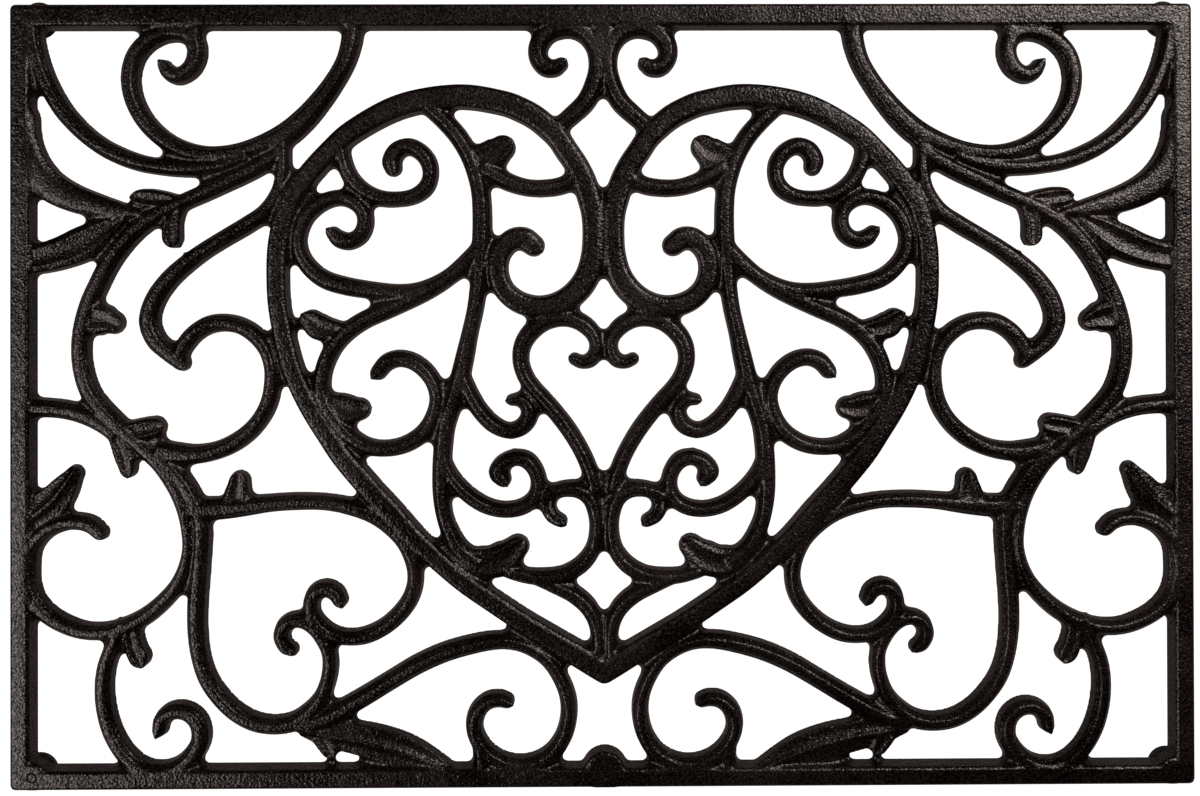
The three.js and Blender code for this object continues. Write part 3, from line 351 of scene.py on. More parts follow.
        (SCROLL, [
            [-154, -165, 4.2], [-144, -162.6, 4.9], [-133, -157.6, 5], [-120, -150.3, 4.9],
            [-106.9, -142.4, 4.8], [-93.9, -134.8, 4.9], [-80.9, -129, 4.9], [-67.9, -125.2, 4.8],
            [-55.5, -123, 4.6], [-45, -123.6, 4.3], [-36, -127, 4.2], [-28, -133, 4.2],
            [-22.2, -142, 4.1], [-18.5, -152, 4.2], [-18.2, -162, 4.2], [-21, -171.9, 4.4],
            [-27.1, -180.1, 4.7], [-36, -184.7, 4.8], [-46, -185.3, 4.8], [-55.5, -181.7, 4.6],
            [-62.5, -174.7, 4.4], [-65.7, -166.4, 4.3], [-63.9, -158.4, 4.4], [-58.5, -153.2, 4.3],
            [-52.6, -152.3, 4.1], [-49.3, -153.2, 3.8],
        ]),
        (BAR, [[-62.4, -175, 4.4], [-60.6, -190, 5.4]]),
    ],
    "tail_leaf": [
        (RIBBED_LEAF, [
            [-152, -166.2, 3.8], [-140, -168.8, 6.6], [-127, -171, 8], [-113, -174.2, 8.6],
            [-99, -178.5, 8], [-87, -183.2, 5.6], [-77, -187, 2.6],
        ]),
        (LEAF, [[-142, -170, 5.4], [-139.6, -173.6, 5.4], [-138.2, -176.2, 4.8]]),
    ],
    "corner_spiral": [
        (SCROLL, [
            [-241, -112.5, 4], [-244.5, -119.4, 4.2], [-247.7, -126.7, 4.3], [-250.6, -135.5, 4.4],
            [-251.6, -146, 4.5], [-250.4, -157.6, 4.6], [-246.8, -169, 4.7], [-240.3, -179.2, 4.7],
            [-231.6, -185.8, 4.7], [-222, -187.4, 4.7], [-213.2, -184.9, 4.8], [-206.5, -178.8, 4.9],
            [-202.9, -170.8, 4.9], [-204.3, -162.7, 4.8], [-210, -157.7, 4.6], [-217, -157.4, 4.4],
            [-222.3, -161.3, 4.2], [-223.5, -166.2, 3.9],
        ]),
        (LEAF, [[-237, -112.5, 4], [-236.6, -120.5, 4.7], [-235.1, -127, 5.2], [-233.6, -129.9, 5.4]]),
    ],
}

# The sweep: how fine its paths and sections are, how blunt a round tip is (2 would be a circle) and
# how little of it stays open, how much of a bead its hollow takes, and the least share of its width
# that a crown keeps
PATH_FINENESS = 16
SECTION_POINTS = 19
TIP_BLUNTNESS = 1.9
TIP_OPENING = 0.0004
HOLLOW_SHARE = 0.75
LEAST_CROWN = 0.4

# The fusing: the cells kept on each side of the surface, and how high the webs in the crotches stand
SDF_BAND = 6
WEB_HEIGHT = 6 * MM

# The parting: the grid on which the metal is shared out, how far from its path a stroke can claim,
# a distance past everything, how often loose islands are handed on, how thick the layer is that
# counts as the underside, and the number that stands for a pocket inside the metal
CLAIM_STEP = 0.5 * MM
CLAIM_MARGIN = 8
CLAIM_REACH = 16 * MM
FAR_AWAY = 1.0
ISLAND_ROUNDS = 6
UNDERSIDE_DEPTH = 0.6 * MM
POCKET = 999

# The paint, in shares of the grain's size: how large its specks, lumps and patches are, and how
# deep its lumps and grains. Then the brightness of its darkest and lightest specks as shares of the
# paint's colour, the lightest being partly random tone and partly painted glints of the grain, the
# noise at which specks and pores begin and end, how strongly pores and grains reflect, how much the
# patches add to the specks, and how far they change the roughness
SPECK_SIZE = 0.8
LUMP_SIZE = 4
PATCH_SIZE = 30
LUMP_DEPTH = 0.3
GRAIN_DEPTH = 0.32
SPECK_DARKNESS = 0.05
SPECK_AND_GLINT_BRIGHTNESS = 4
SPECK_AND_GLINT_NOISE = (0.58, 0.78)
PORE_NOISE = (0.55, 0.75)
PORE_GLOSS = (0.2, 0.8)
PATCH_WEIGHT = 0.3
PATCH_ROUGHNESS = 0.06

# The noise that most of a surface has, from which a roughness is mapped
COMMON_NOISE = (0.3, 0.7)

# The rubber and the steel: sizes and depths of their grain, how dark the rubber's patches are, and
# how rough both are
RUBBER_GRAIN = 0.5 * MM
RUBBER_GRAIN_DEPTH = 0.1 * MM
RUBBER_PATCH = 4 * MM
RUBBER_DARKNESS = 0.7
RUBBER_ROUGHNESS = 0.8
STEEL_GRAIN = 0.3 * MM
STEEL_GRAIN_DEPTH = 0.05 * MM
STEEL_ROUGHNESS = (0.35, 0.55)

# The studio: the ground, which lies a hair under the feet, the strength and tint of the light that
# it throws on the mat, the lamps as (name, place, width, height, share of the power), and the
# camera over the mat, with its tilt in degrees and its lens in mm
GROUND_SIZE = 40
GROUND_LEVEL = -0.1 * MM
GROUND_LIGHT = 0.2
GROUND_TINT = (1, 0.82, 0.74)
WORLD_STRENGTH = 0.015
LAMPS = (
    ("lamp_front_left", (-1.1, -0.5, 1.0), 0.85, 1.1, 0.66),
    ("lamp_back_right", (0.85, 0.7, 1.0), 0.8, 0.8, 0.85),
    ("lamp_overhead", (0.25, 0.55, 1.0), 1.1, 1.1, 0.05),
)
LAMP_COLOUR = (1, 0.89, 0.83)
CAMERA_PLACE = (0.00679, 0.05965, 0.7376)
CAMERA_TILT = (0.304, -0.516, -0.155)
CAMERA_LENS = 43.11
CAMERA_SHIFT = (-0.0248, -0.1074)


# Node trees

def add_node(tree, kind, *values, **settings):
    """Adds a node and feeds its inputs in order: a socket is linked, None is skipped, a value is set."""
    node = tree.nodes.new(kind)
    for name, value in settings.items():
        setattr(node, name, value)
    sockets = [socket for socket in node.inputs if socket.enabled]
    for socket, value in zip(sockets, values):
        if isinstance(value, bpy.types.NodeSocket):
            tree.links.new(value, socket)
        elif value is not None:
            socket.default_value = value
    return node


def math_socket(tree, operation, *values):
    """Result socket of one Math node."""
    return add_node(tree, "ShaderNodeMath", *values, operation=operation).outputs[0]


def vector_socket(tree, operation, *values):
    """Result socket of one Vector Math node that gives a vector."""
    return add_node(tree, "ShaderNodeVectorMath", *values, operation=operation).outputs[0]


def read_attribute(tree, name, data_type="FLOAT"):
    """Socket with a named attribute's value."""
    node = add_node(tree, "GeometryNodeInputNamedAttribute", name, data_type=data_type)
    return next(socket for socket in node.outputs if socket.enabled and socket.name == "Attribute")


def store_attribute(tree, geometry, name, value, data_type="FLOAT"):
    """Geometry socket on which a value is kept for every point under a name."""
    node = add_node(tree, "GeometryNodeStoreNamedAttribute", geometry, None, name, value,
                    data_type=data_type, domain="POINT")
    return node.outputs[0]


def new_geometry_tree(name, sizes):
    """Geometry Nodes tree with a geometry input and output, and one named input for each size."""
    tree = bpy.data.node_groups.new(name, "GeometryNodeTree")
    tree.interface.new_socket("Geometry", in_out="INPUT", socket_type="NodeSocketGeometry")
    tree.interface.new_socket("Geometry", in_out="OUTPUT", socket_type="NodeSocketGeometry")
    for size in sizes:
        tree.interface.new_socket(size, in_out="INPUT", socket_type="NodeSocketFloat")
    inlet = tree.nodes.new("NodeGroupInput")
    outlet = tree.nodes.new("NodeGroupOutput")
    return tree, inlet, outlet


def run_tree(tree, obj, sizes):
    """Plain mesh that a tree makes of an object, with the sizes set on the modifier's named inputs."""
    modifier = obj.modifiers.new(tree.name, "NODES")
    modifier.node_group = tree
    for item in tree.interface.items_tree:
        if item.item_type == "SOCKET" and item.in_out == "INPUT" and item.name in sizes:
            modifier[item.identifier] = sizes[item.name]
    evaluated = obj.evaluated_get(bpy.context.evaluated_depsgraph_get())
    mesh = bpy.data.meshes.new_from_object(evaluated)
    obj.modifiers.remove(modifier)
    return mesh


# The bars of the pattern, swept by Geometry Nodes along their drawn paths

PATH_NUMBERS = ("half_width", "bead", "shoulder", "reach", "steepness", "hollow", "round_tip")
DRAWN_POINTS = [point for strokes in PATTERN.values() for _, path in strokes for point in path]
DRAWN_HALF_LENGTH = max(abs(x) for x, _, _ in DRAWN_POINTS)
DRAWN_HALF_DEPTH = max(abs(y) for _, y, _ in DRAWN_POINTS)


def fit_to_frame(x, y):
    """Place in metres of a point of the drawn pattern, fitted to the opening between the rails."""
    half_length = FRAME_HALF_LENGTH - RAIL_WIDTH + ROOT_DEPTH_IN_SIDE_RAIL
    half_depth = FRAME_HALF_DEPTH - (RAIL_WIDTH + TOP_RAIL_WIDTH) / 2 + ROOT_DEPTH_IN_LONG_RAIL
    middle_y = (RAIL_WIDTH - TOP_RAIL_WIDTH) / 2
    return Vector((
        x * half_length / DRAWN_HALF_LENGTH,
        middle_y + y * half_depth / DRAWN_HALF_DEPTH,
        CASTING_BOTTOM,
    ))


def stroke_points(section, path, side):
    """Places and half widths in metres along one stroke, with a round tip's length added at the end."""
    points = []
    for x, y, half_width in path:
        place = fit_to_frame(x, y)
        place.x *= side
        points.append((place, half_width * MM + BAR_GROWTH))
    if section.round_tip:
        tip, half_width = points[-1]
        onward = (tip - points[-2][0]).normalized()
        points.append((tip + onward * half_width, half_width))
    return points


def all_strokes():
    """Every stroke of the whole pattern as (member name, section, points)."""
    for member, strokes in PATTERN.items():
        for side, word in ((1, "left"), (-1, "right")):
            for section, path in strokes:
                yield f"{member}_{word}", section, stroke_points(section, path, side)


def path_mesh():
    """Mesh of bare edges along every stroke, carrying the numbers that its sweep needs on its points."""
    places = []
    edges = []
    numbers = []
    for _, section, points in all_strokes():
        first = len(places)
        shape = (
            section.bead * MM, section.shoulder * MM, section.reach,
            section.steepness, section.hollow * MM, float(section.round_tip),
        )
        for place, half_width in points:
            places.append(place)
            numbers.append((half_width, *shape))
        edges += [(i, i + 1) for i in range(first, len(places) - 1)]
    mesh = bpy.data.meshes.new("pattern_paths")
    mesh.from_pydata(places, edges, [])
    for name, values in zip(PATH_NUMBERS, zip(*numbers)):
        mesh.attributes.new(name, "FLOAT", "POINT").data.foreach_set("value", values)
    return mesh


def end_tree(tree, mesh, material, outlet):
    """Ends a tree with real geometry that wears a material."""
    mesh = add_node(tree, "GeometryNodeRealizeInstances", mesh).outputs[0]
    mesh = add_node(tree, "GeometryNodeSetMaterial", mesh, None, material).outputs[0]
    tree.links.new(mesh, outlet.inputs[0])


def sweep_tree(material):
    """Tree that turns paths into bars: a beaded section over drafted walls, with rounded free tips."""
    tree, inlet, outlet = new_geometry_tree("sweep bars", ("Step", "Draft", "Casting height"))
    step, draft, casting_height = inlet.outputs[1:4]

    # Smooth paths with even steps, and the place and sideways direction of each step
    curve = add_node(tree, "GeometryNodeMeshToCurve", inlet.outputs[0]).outputs[0]
    curve = add_node(tree, "GeometryNodeCurveSplineType", curve, spline_type="CATMULL_ROM").outputs[0]
    curve = add_node(tree, "GeometryNodeSetSplineResolution", curve, None, PATH_FINENESS).outputs[0]
    curve = add_node(tree, "GeometryNodeResampleCurve", curve, None, step, mode="LENGTH").outputs[0]
    tangent = tree.nodes.new("GeometryNodeInputTangent").outputs[0]
    sideways = vector_socket(tree, "CROSS_PRODUCT", tangent, (0, 0, 1))
    sideways = vector_socket(tree, "NORMALIZE", sideways)
    place = tree.nodes.new("GeometryNodeInputPosition").outputs[0]
    curve = store_attribute(tree, curve, "place", place, "FLOAT_VECTOR")
    curve = store_attribute(tree, curve, "sideways", sideways, "FLOAT_VECTOR")

    # A round tip narrows the last half width of a path bluntly
    along = tree.nodes.new("GeometryNodeSplineParameter").outputs["Length"]
    whole = tree.nodes.new("GeometryNodeSplineLength").outputs["Length"]
    half_width = read_attribute(tree, "half_width")
    from_tip = math_socket(tree, "DIVIDE", math_socket(tree, "SUBTRACT", whole, along), half_width)
    into_tip = math_socket(tree, "MAXIMUM", math_socket(tree, "SUBTRACT", 1, from_tip), 0)
    into_tip = math_socket(tree, "MULTIPLY", into_tip, read_attribute(tree, "round_tip"))
    closed = math_socket(tree, "POWER", into_tip, TIP_BLUNTNESS)
    narrowing = math_socket(tree, "SUBTRACT", 1 + TIP_OPENING, closed)
    narrowing = math_socket(tree, "POWER", narrowing, 1 / TIP_BLUNTNESS)
    narrowed = math_socket(tree, "MULTIPLY", half_width, narrowing)
    curve = store_attribute(tree, curve, "half_width", narrowed)

    # The section: a closed ring of points, the first and last at the foot of the walls and the rest
    # on the crown, where "up" is 1
    count = SECTION_POINTS
    ring = add_node(tree, "GeometryNodeMeshLine", count).outputs[0]
    ring = add_node(tree, "GeometryNodeMeshToCurve", ring).outputs[0]
    ring = add_node(tree, "GeometryNodeSetSplineCyclic", ring, None, True).outputs[0]
    index = tree.nodes.new("GeometryNodeInputIndex").outputs[0]
    across = add_node(tree, "ShaderNodeMapRange", index, 1, count - 2, -1, 1, clamp=True).outputs[0]
    above = math_socket(tree, "GREATER_THAN", index, 0.5)
    below = math_socket(tree, "LESS_THAN", index, count - 1.5)
    ring = store_attribute(tree, ring, "across", across)
    ring = store_attribute(tree, ring, "up", math_socket(tree, "MULTIPLY", above, below))
    bars = add_node(tree, "GeometryNodeCurveToMesh", curve, ring, None, True).outputs[0]

    # Height of the crown: the bead falls to the shoulders as 1 / (1 + (across / reach) ^ steepness)
    across = read_attribute(tree, "across")
    up = read_attribute(tree, "up")
    shoulder = read_attribute(tree, "shoulder")
    reach = read_attribute(tree, "reach")
    fall = math_socket(tree, "DIVIDE", math_socket(tree, "ABSOLUTE", across), reach)
    fall = math_socket(tree, "POWER", fall, read_attribute(tree, "steepness"))
    bead = math_socket(tree, "DIVIDE", 1, math_socket(tree, "ADD", 1, fall))
    rise = math_socket(tree, "SUBTRACT", read_attribute(tree, "bead"), shoulder)
    crown = math_socket(tree, "MULTIPLY_ADD", rise, bead, shoulder)

    # The hollow of a leaf dips into the middle of its bead
    from_middle = math_socket(tree, "DIVIDE", across, math_socket(tree, "MULTIPLY", reach, HOLLOW_SHARE))
    dip = math_socket(tree, "SUBTRACT", 1, math_socket(tree, "MULTIPLY", from_middle, from_middle))
    dip = math_socket(tree, "MAXIMUM", dip, 0)
    dip = math_socket(tree, "MULTIPLY", dip, read_attribute(tree, "hollow"))
    crown = math_socket(tree, "SUBTRACT", crown, dip)
    height = math_socket(tree, "MULTIPLY", crown, up)

    # The walls lean in with the draft on their way up
    lean = math_socket(tree, "MULTIPLY", draft, math_socket(tree, "DIVIDE", shoulder, casting_height))
    lean = math_socket(tree, "MULTIPLY", lean, up)
    half_width = read_attribute(tree, "half_width")
    least = math_socket(tree, "MULTIPLY", half_width, LEAST_CROWN)
    half_width = math_socket(tree, "SUBTRACT", half_width, lean)
    half_width = math_socket(tree, "MAXIMUM", half_width, least)
    sideways = read_attribute(tree, "sideways", "FLOAT_VECTOR")
    offset = add_node(tree, "ShaderNodeVectorMath", sideways, operation="SCALE")
    tree.links.new(math_socket(tree, "MULTIPLY", across, half_width), offset.inputs["Scale"])
    place = vector_socket(tree, "ADD", read_attribute(tree, "place", "FLOAT_VECTOR"), offset.outputs[0])
    upward = add_node(tree, "ShaderNodeCombineXYZ", 0, 0, height).outputs[0]
    place = vector_socket(tree, "ADD", place, upward)
    bars = add_node(tree, "GeometryNodeSetPosition", bars, None, place).outputs[0]
    end_tree(tree, bars, material, outlet)
    return tree


def filled_corners(tree, mesh, voxel, radius, adaptivity):
    """Geometry socket of a body whose inner corners are filled to a radius: grown, then shrunk again."""
    back = math_socket(tree, "MULTIPLY", radius, -1)
    for offset, coarseness in ((radius, 0.0), (back, adaptivity)):
        grid = add_node(tree, "GeometryNodeMeshToSDFGrid", mesh, voxel, SDF_BAND).outputs[0]
        mesh = add_node(tree, "GeometryNodeGridToMesh", grid, offset, coarseness).outputs[0]
    return mesh


def fuse_tree(material):
    """Tree that fuses overlapping bodies into one casting, with webs in its crotches and soft creases."""
    tree, inlet, outlet = new_geometry_tree(
        "fuse casting", ("Grain of shape", "Fillet radius", "Crease radius", "Least detail", "Web top"))
    mesh, voxel, fillet, crease, adaptivity, web_top = inlet.outputs[:6]

    # The webs: the casting pressed flat at their height, its crotches filled to the large radius
    place = tree.nodes.new("GeometryNodeInputPosition").outputs[0]
    x, y, z = add_node(tree, "ShaderNodeSeparateXYZ", place).outputs
    z = math_socket(tree, "MINIMUM", z, web_top)
    pressed = add_node(tree, "ShaderNodeCombineXYZ", x, y, z).outputs[0]
    webs = add_node(tree, "GeometryNodeSetPosition", mesh, None, pressed).outputs[0]
    webs = filled_corners(tree, webs, voxel, fillet, 0.0)

    joined = add_node(tree, "GeometryNodeJoinGeometry").outputs[0]
    for body in (mesh, webs):
        tree.links.new(body, joined.node.inputs[0])
    end_tree(tree, filled_corners(tree, joined, voxel, crease, adaptivity), material, outlet)
    return tree


# The rails, the pads over the feet and the boss, as bodies to be fused with the bars

def turn_outline(bm, outline, x, y):
    """Adds a closed body turned about the vertical through (x, y) from (radius, height) points."""
    rings = []
    for radius, height in outline:
        if radius == 0:
            rings.append([bm.verts.new((x, y, height))])
            continue
        angles = (2 * math.pi * i / ROUND_STEPS for i in range(ROUND_STEPS))
        spots = [(x + radius * math.cos(angle), y + radius * math.sin(angle)) for angle in angles]
        rings.append([bm.verts.new((*spot, height)) for spot in spots])
    for low, high in zip(rings, rings[1:]):
        for i in range(ROUND_STEPS):
            j = (i + 1) % ROUND_STEPS
            corners = [low[i % len(low)], low[j % len(low)], high[j % len(high)], high[i % len(high)]]
            bm.faces.new(dict.fromkeys(corners))


def frame_rings():
    """The frame's section as rectangles, each with its half length, low y, high y and height."""
    half_length, half_depth = FRAME_HALF_LENGTH, FRAME_HALF_DEPTH
    top = CASTING_BOTTOM + RAIL_HEIGHT
    edge = top - RAIL_EDGE
    rings = []
    for inset, height in ((0, CASTING_BOTTOM), (DRAFT, edge), (DRAFT + RAIL_EDGE, top)):
        rings.append((half_length - inset, inset - half_depth, half_depth - inset, height))
    for inset, height in ((DRAFT + RAIL_EDGE, top), (DRAFT, edge), (0, CASTING_BOTTOM)):
        inner_length = half_length - RAIL_WIDTH - SIDE_FLARE + inset
        low_y = RAIL_WIDTH + BOTTOM_FLARE - inset - half_depth
        high_y = half_depth - TOP_RAIL_WIDTH - TOP_FLARE + inset
        rings.append((inner_length, low_y, high_y, height))
    return rings


def rounded_corners(half_length, low_y, high_y):
    """Points round a rectangle with rounded corners."""
    points = []
    middle_y = (low_y + high_y) / 2
    for turn, (side_x, y) in enumerate(((-1, low_y), (1, low_y), (1, high_y), (-1, high_y))):
        centre_x = side_x * (half_length - FRAME_CORNER_RADIUS)
        centre_y = y + math.copysign(FRAME_CORNER_RADIUS, middle_y - y)
        for step in range(FRAME_CORNER_STEPS):
            angle = math.pi + math.pi / 2 * (turn + step / (FRAME_CORNER_STEPS - 1))
            points.append((
                centre_x + FRAME_CORNER_RADIUS * math.cos(angle),
                centre_y + FRAME_CORNER_RADIUS * math.sin(angle),
            ))
    return points


def add_frame(bm):
    """Adds the four rails as one closed band round the opening."""
    rings = []
    for *rectangle, height in frame_rings():
        rings.append([bm.verts.new((*spot, height)) for spot in rounded_corners(*rectangle)])
    for ring, following in zip(rings, rings[1:] + rings[:1]):
        for i in range(len(ring)):
            j = (i + 1) % len(ring)
            bm.faces.new((ring[i], ring[j], following[j], following[i]))


def drafted_disc(radius, height):
    """Outline of a round body with leaning walls and a softened top edge."""
    top = CASTING_BOTTOM + height
    return (
        (0, CASTING_BOTTOM),
        (radius, CASTING_BOTTOM),
        (radius - DRAFT, top - RAIL_EDGE),
        (radius - DRAFT - RAIL_EDGE, top),
        (0, top),
    )


def add_pads_and_boss(bm):
    """Adds the four round pads over the feet and the boss behind the bottom rail's inner wall."""
    for side_x in (-1, 1):
        for side_y, height in ((-1, RAIL_HEIGHT), (1, BACK_PAD_HEIGHT)):
            pad = drafted_disc(PAD_RADIUS + DRAFT, height)
            turn_outline(bm, pad, side_x * abs(PAD_CENTRE.x), side_y * abs(PAD_CENTRE.y))
    boss_y = -FRAME_HALF_DEPTH + RAIL_WIDTH - BOSS_DEPTH_INTO_RAIL
    turn_outline(bm, drafted_disc(BOSS_RADIUS, BOSS_HEIGHT), 0, boss_y)
    for vertex in bm.verts:
        # Nothing stands out past the frame's leaning outer walls
        lean = DRAFT * (vertex.co.z - CASTING_BOTTOM) / CASTING_HEIGHT
        vertex.co.x = max(lean - FRAME_HALF_LENGTH, min(vertex.co.x, FRAME_HALF_LENGTH - lean))
        vertex.co.y = max(lean - FRAME_HALF_DEPTH, min(vertex.co.y, FRAME_HALF_DEPTH - lean))


def raw_casting(bars):
    """Object that holds the swept bars, the frame, the pads and the boss as overlapping closed bodies."""
    bm = bmesh.new()
    bm.from_mesh(bars)
    add_frame(bm)
    add_pads_and_boss(bm)
    mesh = bpy.data.meshes.new("raw_casting")
    bm.to_mesh(mesh)
    bm.free()
    return link_object("raw_casting", mesh)


def link_object(name, mesh):
    """Adds an object for a mesh to the scene."""
    obj = bpy.data.objects.new(name, mesh)
    bpy.context.scene.collection.objects.link(obj)
    return obj


# Which member of the pattern each spot of the casting belongs to

def member_names():
    """Rails first and then the pattern's members, in the order in which they claim the metal."""
    names = ["top_rail", "bottom_rail", "side_rail_left", "side_rail_right"]
    for member in PATTERN:
        names += [f"{member}_left", f"{member}_right"]
    return names


def distance_to_rectangle(x, y, low, high):
    """Signed distance of grid points from a rectangle, negative inside it."""
    out_x = np.maximum(low[0] - x, x - high[0])
    out_y = np.maximum(low[1] - y, y - high[1])
    return np.maximum(out_x, out_y)


def claim_map():
    """Grid over the mat with the index of the member that owns each cell."""
    names = member_names()
    columns = int(2 * FRAME_HALF_LENGTH / CLAIM_STEP) + CLAIM_MARGIN
    rows = int(2 * FRAME_HALF_DEPTH / CLAIM_STEP) + CLAIM_MARGIN
    xs = (np.arange(columns) - columns / 2) * CLAIM_STEP
    ys = (np.arange(rows) - rows / 2) * CLAIM_STEP
    grid_x, grid_y = np.meshgrid(xs, ys)
    distance = np.full((len(names), rows, columns), FAR_AWAY, np.float32)
    side_x = FRAME_HALF_LENGTH - RAIL_WIDTH - SIDE_FLARE
    top_y = FRAME_HALF_DEPTH - TOP_RAIL_WIDTH - TOP_FLARE
    bottom_y = -FRAME_HALF_DEPTH + RAIL_WIDTH + BOTTOM_FLARE
    rectangles = {
        "top_rail": ((-FAR_AWAY, top_y), (FAR_AWAY, FAR_AWAY)),
        "bottom_rail": ((-FAR_AWAY, -FAR_AWAY), (FAR_AWAY, bottom_y)),
        "side_rail_left": ((-FAR_AWAY, -FAR_AWAY), (-side_x, FAR_AWAY)),
        "side_rail_right": ((side_x, -FAR_AWAY), (FAR_AWAY, FAR_AWAY)),
    }
    for name, (low, high) in rectangles.items():
        distance[names.index(name)] = distance_to_rectangle(grid_x, grid_y, low, high)
    reach = int(CLAIM_REACH / CLAIM_STEP)
    for name, _, points in all_strokes():
        layer = distance[names.index(name)]
        for (start, start_width), (end, end_width) in zip(points, points[1:]):
            steps = max(2, int((end - start).length / CLAIM_STEP))
            for i in range(steps + 1):
                place = start.lerp(end, i / steps)
                half_width = start_width + (end_width - start_width) * i / steps
                column = int(place.x / CLAIM_STEP + columns / 2)
                row = int(place.y / CLAIM_STEP + rows / 2)
                patch = np.s_[max(row - reach, 0):row + reach, max(column - reach, 0):column + reach]
                from_path = np.hypot(grid_x[patch] - place.x, grid_y[patch] - place.y)
                layer[patch] = np.minimum(layer[patch], from_path - half_width)
    # The earliest member whose stroke covers a cell owns it, and elsewhere the nearest one does
    covered = distance < 0
    return names, np.where(covered.any(0), covered.argmax(0), distance.argmin(0))


def owners_of(centres, claims):
    """Member index for each face centre."""
    rows, columns = claims.shape
    column = np.clip((centres[:, 0] / CLAIM_STEP + columns / 2).round().astype(int), 0, columns - 1)
    row = np.clip((centres[:, 1] / CLAIM_STEP + rows / 2).round().astype(int), 0, rows - 1)
    return claims[row, column]


def read_numbers(items, name, width=1, kind=float):
    """Array of one property of every item of a mesh."""
    numbers = np.empty(len(items) * width, kind)
    items.foreach_get(name, numbers)
    return numbers.reshape(-1, width) if width > 1 else numbers


def face_neighbours(mesh):
    """Pairs of faces that share an edge."""
    edges = read_numbers(mesh.loops, "edge_index", kind=np.int64)
    corners = read_numbers(mesh.polygons, "loop_total", kind=np.int64)
    faces = np.repeat(np.arange(len(corners)), corners)
    order = np.argsort(edges, kind="stable")
    edges, faces = edges[order], faces[order]
    same = edges[1:] == edges[:-1]
    return faces[:-1][same], faces[1:][same]


def connected_groups(count, one, other):
    """Lowest face index reachable from each face over the given pairs."""
    group = np.arange(count)
    while True:
        before = group.copy()
        least = np.minimum(group[one], group[other])
        np.minimum.at(group, one, least)
        np.minimum.at(group, other, least)
        group = group[group]
        if np.array_equal(before, group):
            return group


def absorb_islands(owner, one, other):
    """Hands every loose island of a member to the one beside it, and marks pockets inside the metal."""
    body = connected_groups(len(owner), one, other)
    owner = np.where(body == np.bincount(body).argmax(), owner, POCKET)
    for _ in range(ISLAND_ROUNDS):
        inside = owner[one] == owner[other]
        group = connected_groups(len(owner), one[inside], other[inside])
        sizes = np.bincount(group, minlength=len(owner))
        largest = np.zeros(POCKET + 1, np.int64)
        np.maximum.at(largest, owner, sizes[group])
        loose = sizes[group] < largest[owner]
        if not loose.any():
            break
        across = ~inside
        for near, far in ((one[across], other[across]), (other[across], one[across])):
            moving = loose[near] & ~loose[far]
            new_owner = np.full(len(owner), -1)
            new_owner[group[near[moving]]] = owner[far[moving]]
            given = new_owner[group]
            change = loose & (given >= 0)
            owner = np.where(change, given, owner)
            loose &= ~change
    return owner


def rim_loops(faces):
    """Closed runs of vertices round a surface's openings, each against the turn of its faces."""
    turns = {(a, b) for face in faces for a, b in zip(face, face[1:] + face[:1])}
    onward = {}
    for a, b in sorted(turns):
        if (b, a) not in turns:
            onward.setdefault(b, []).append(a)
    loops = []
    while onward:
        run = [next(iter(onward))]
        while run[-1] in onward:
            choices = onward[run[-1]]
            following = choices.pop()
            if not choices:
                del onward[run[-1]]
            if following in run:
                # A run that meets itself leaves a loop behind
                start = run.index(following)
                loops.append(run[start:])
                run = run[:start]
            run.append(following)
    return loops


def curtain(loop, vertices, taken):
    """Triangles that close a rim which runs along a parted bar's underside and back over its crown."""
    low = [vertices[i][2] < CASTING_BOTTOM + UNDERSIDE_DEPTH for i in loop]
    for turn in range(len(loop)):
        if low[turn] and not low[turn - 1]:
            loop = loop[turn:] + loop[:turn]
            break
    triangles = []
    near, far = 0, len(loop) - 1
    while far - near > 1:
        # Of the two ways across to the rim's other side the shorter is taken, if no edge runs there yet
        onward = math.dist(vertices[loop[near + 1]], vertices[loop[far]])
        back = math.dist(vertices[loop[near]], vertices[loop[far - 1]])
        if {loop[near + 1], loop[far]} in taken:
            onward += FAR_AWAY
        if {loop[near], loop[far - 1]} in taken:
            back += FAR_AWAY
        if onward < back:
            triangles.append([loop[near], loop[near + 1], loop[far]])
            near += 1
        else:
            triangles.append([loop[near], loop[far - 1], loop[far]])
            far -= 1
    return triangles


def member_mesh(name, casting, faces):
    """Closed mesh of one member's faces, capped where it was parted and shaded as the casting is."""
    places, normals, corners, starts = casting
    picked = [corners[starts[face]:starts[face + 1]] for face in faces]
    used, renumbered = np.unique(np.concatenate(picked), return_inverse=True)
    cuts = np.cumsum([len(corner) for corner in picked])[:-1]
    polygons = [part.tolist() for part in np.split(renumbered, cuts)]
    vertices = places[used].tolist()
    outer = len(polygons)
    taken = {frozenset(edge) for face in polygons for edge in zip(face, face[1:] + face[:1])}
    for loop in rim_loops(polygons):
        polygons += curtain(loop, vertices, taken)
    mesh = bpy.data.meshes.new(name)
    mesh.from_pydata(vertices, [], polygons)
    mesh.shade_smooth()
    shading = np.empty((len(mesh.loops), 3))
    outer_corners = len(renumbered)
    shading[:outer_corners] = normals[used][renumbered]
    shading[outer_corners:] = np.repeat([polygon.normal for polygon in mesh.polygons[outer:]], 3, axis=0)
    mesh.normals_split_custom_set(shading.tolist())
    return mesh


# Finishes

def new_material(name):
    """Material with an empty tree, its Principled shader and its object coordinates."""
    material = bpy.data.materials.new(name)
    material.use_nodes = True
    tree = material.node_tree
    tree.nodes.clear()
    shader = tree.nodes.new("ShaderNodeBsdfPrincipled")
    output = tree.nodes.new("ShaderNodeOutputMaterial")
    tree.links.new(shader.outputs[0], output.inputs[0])
    coordinates = tree.nodes.new("ShaderNodeTexCoord").outputs["Object"]
    return material, tree, shader, coordinates


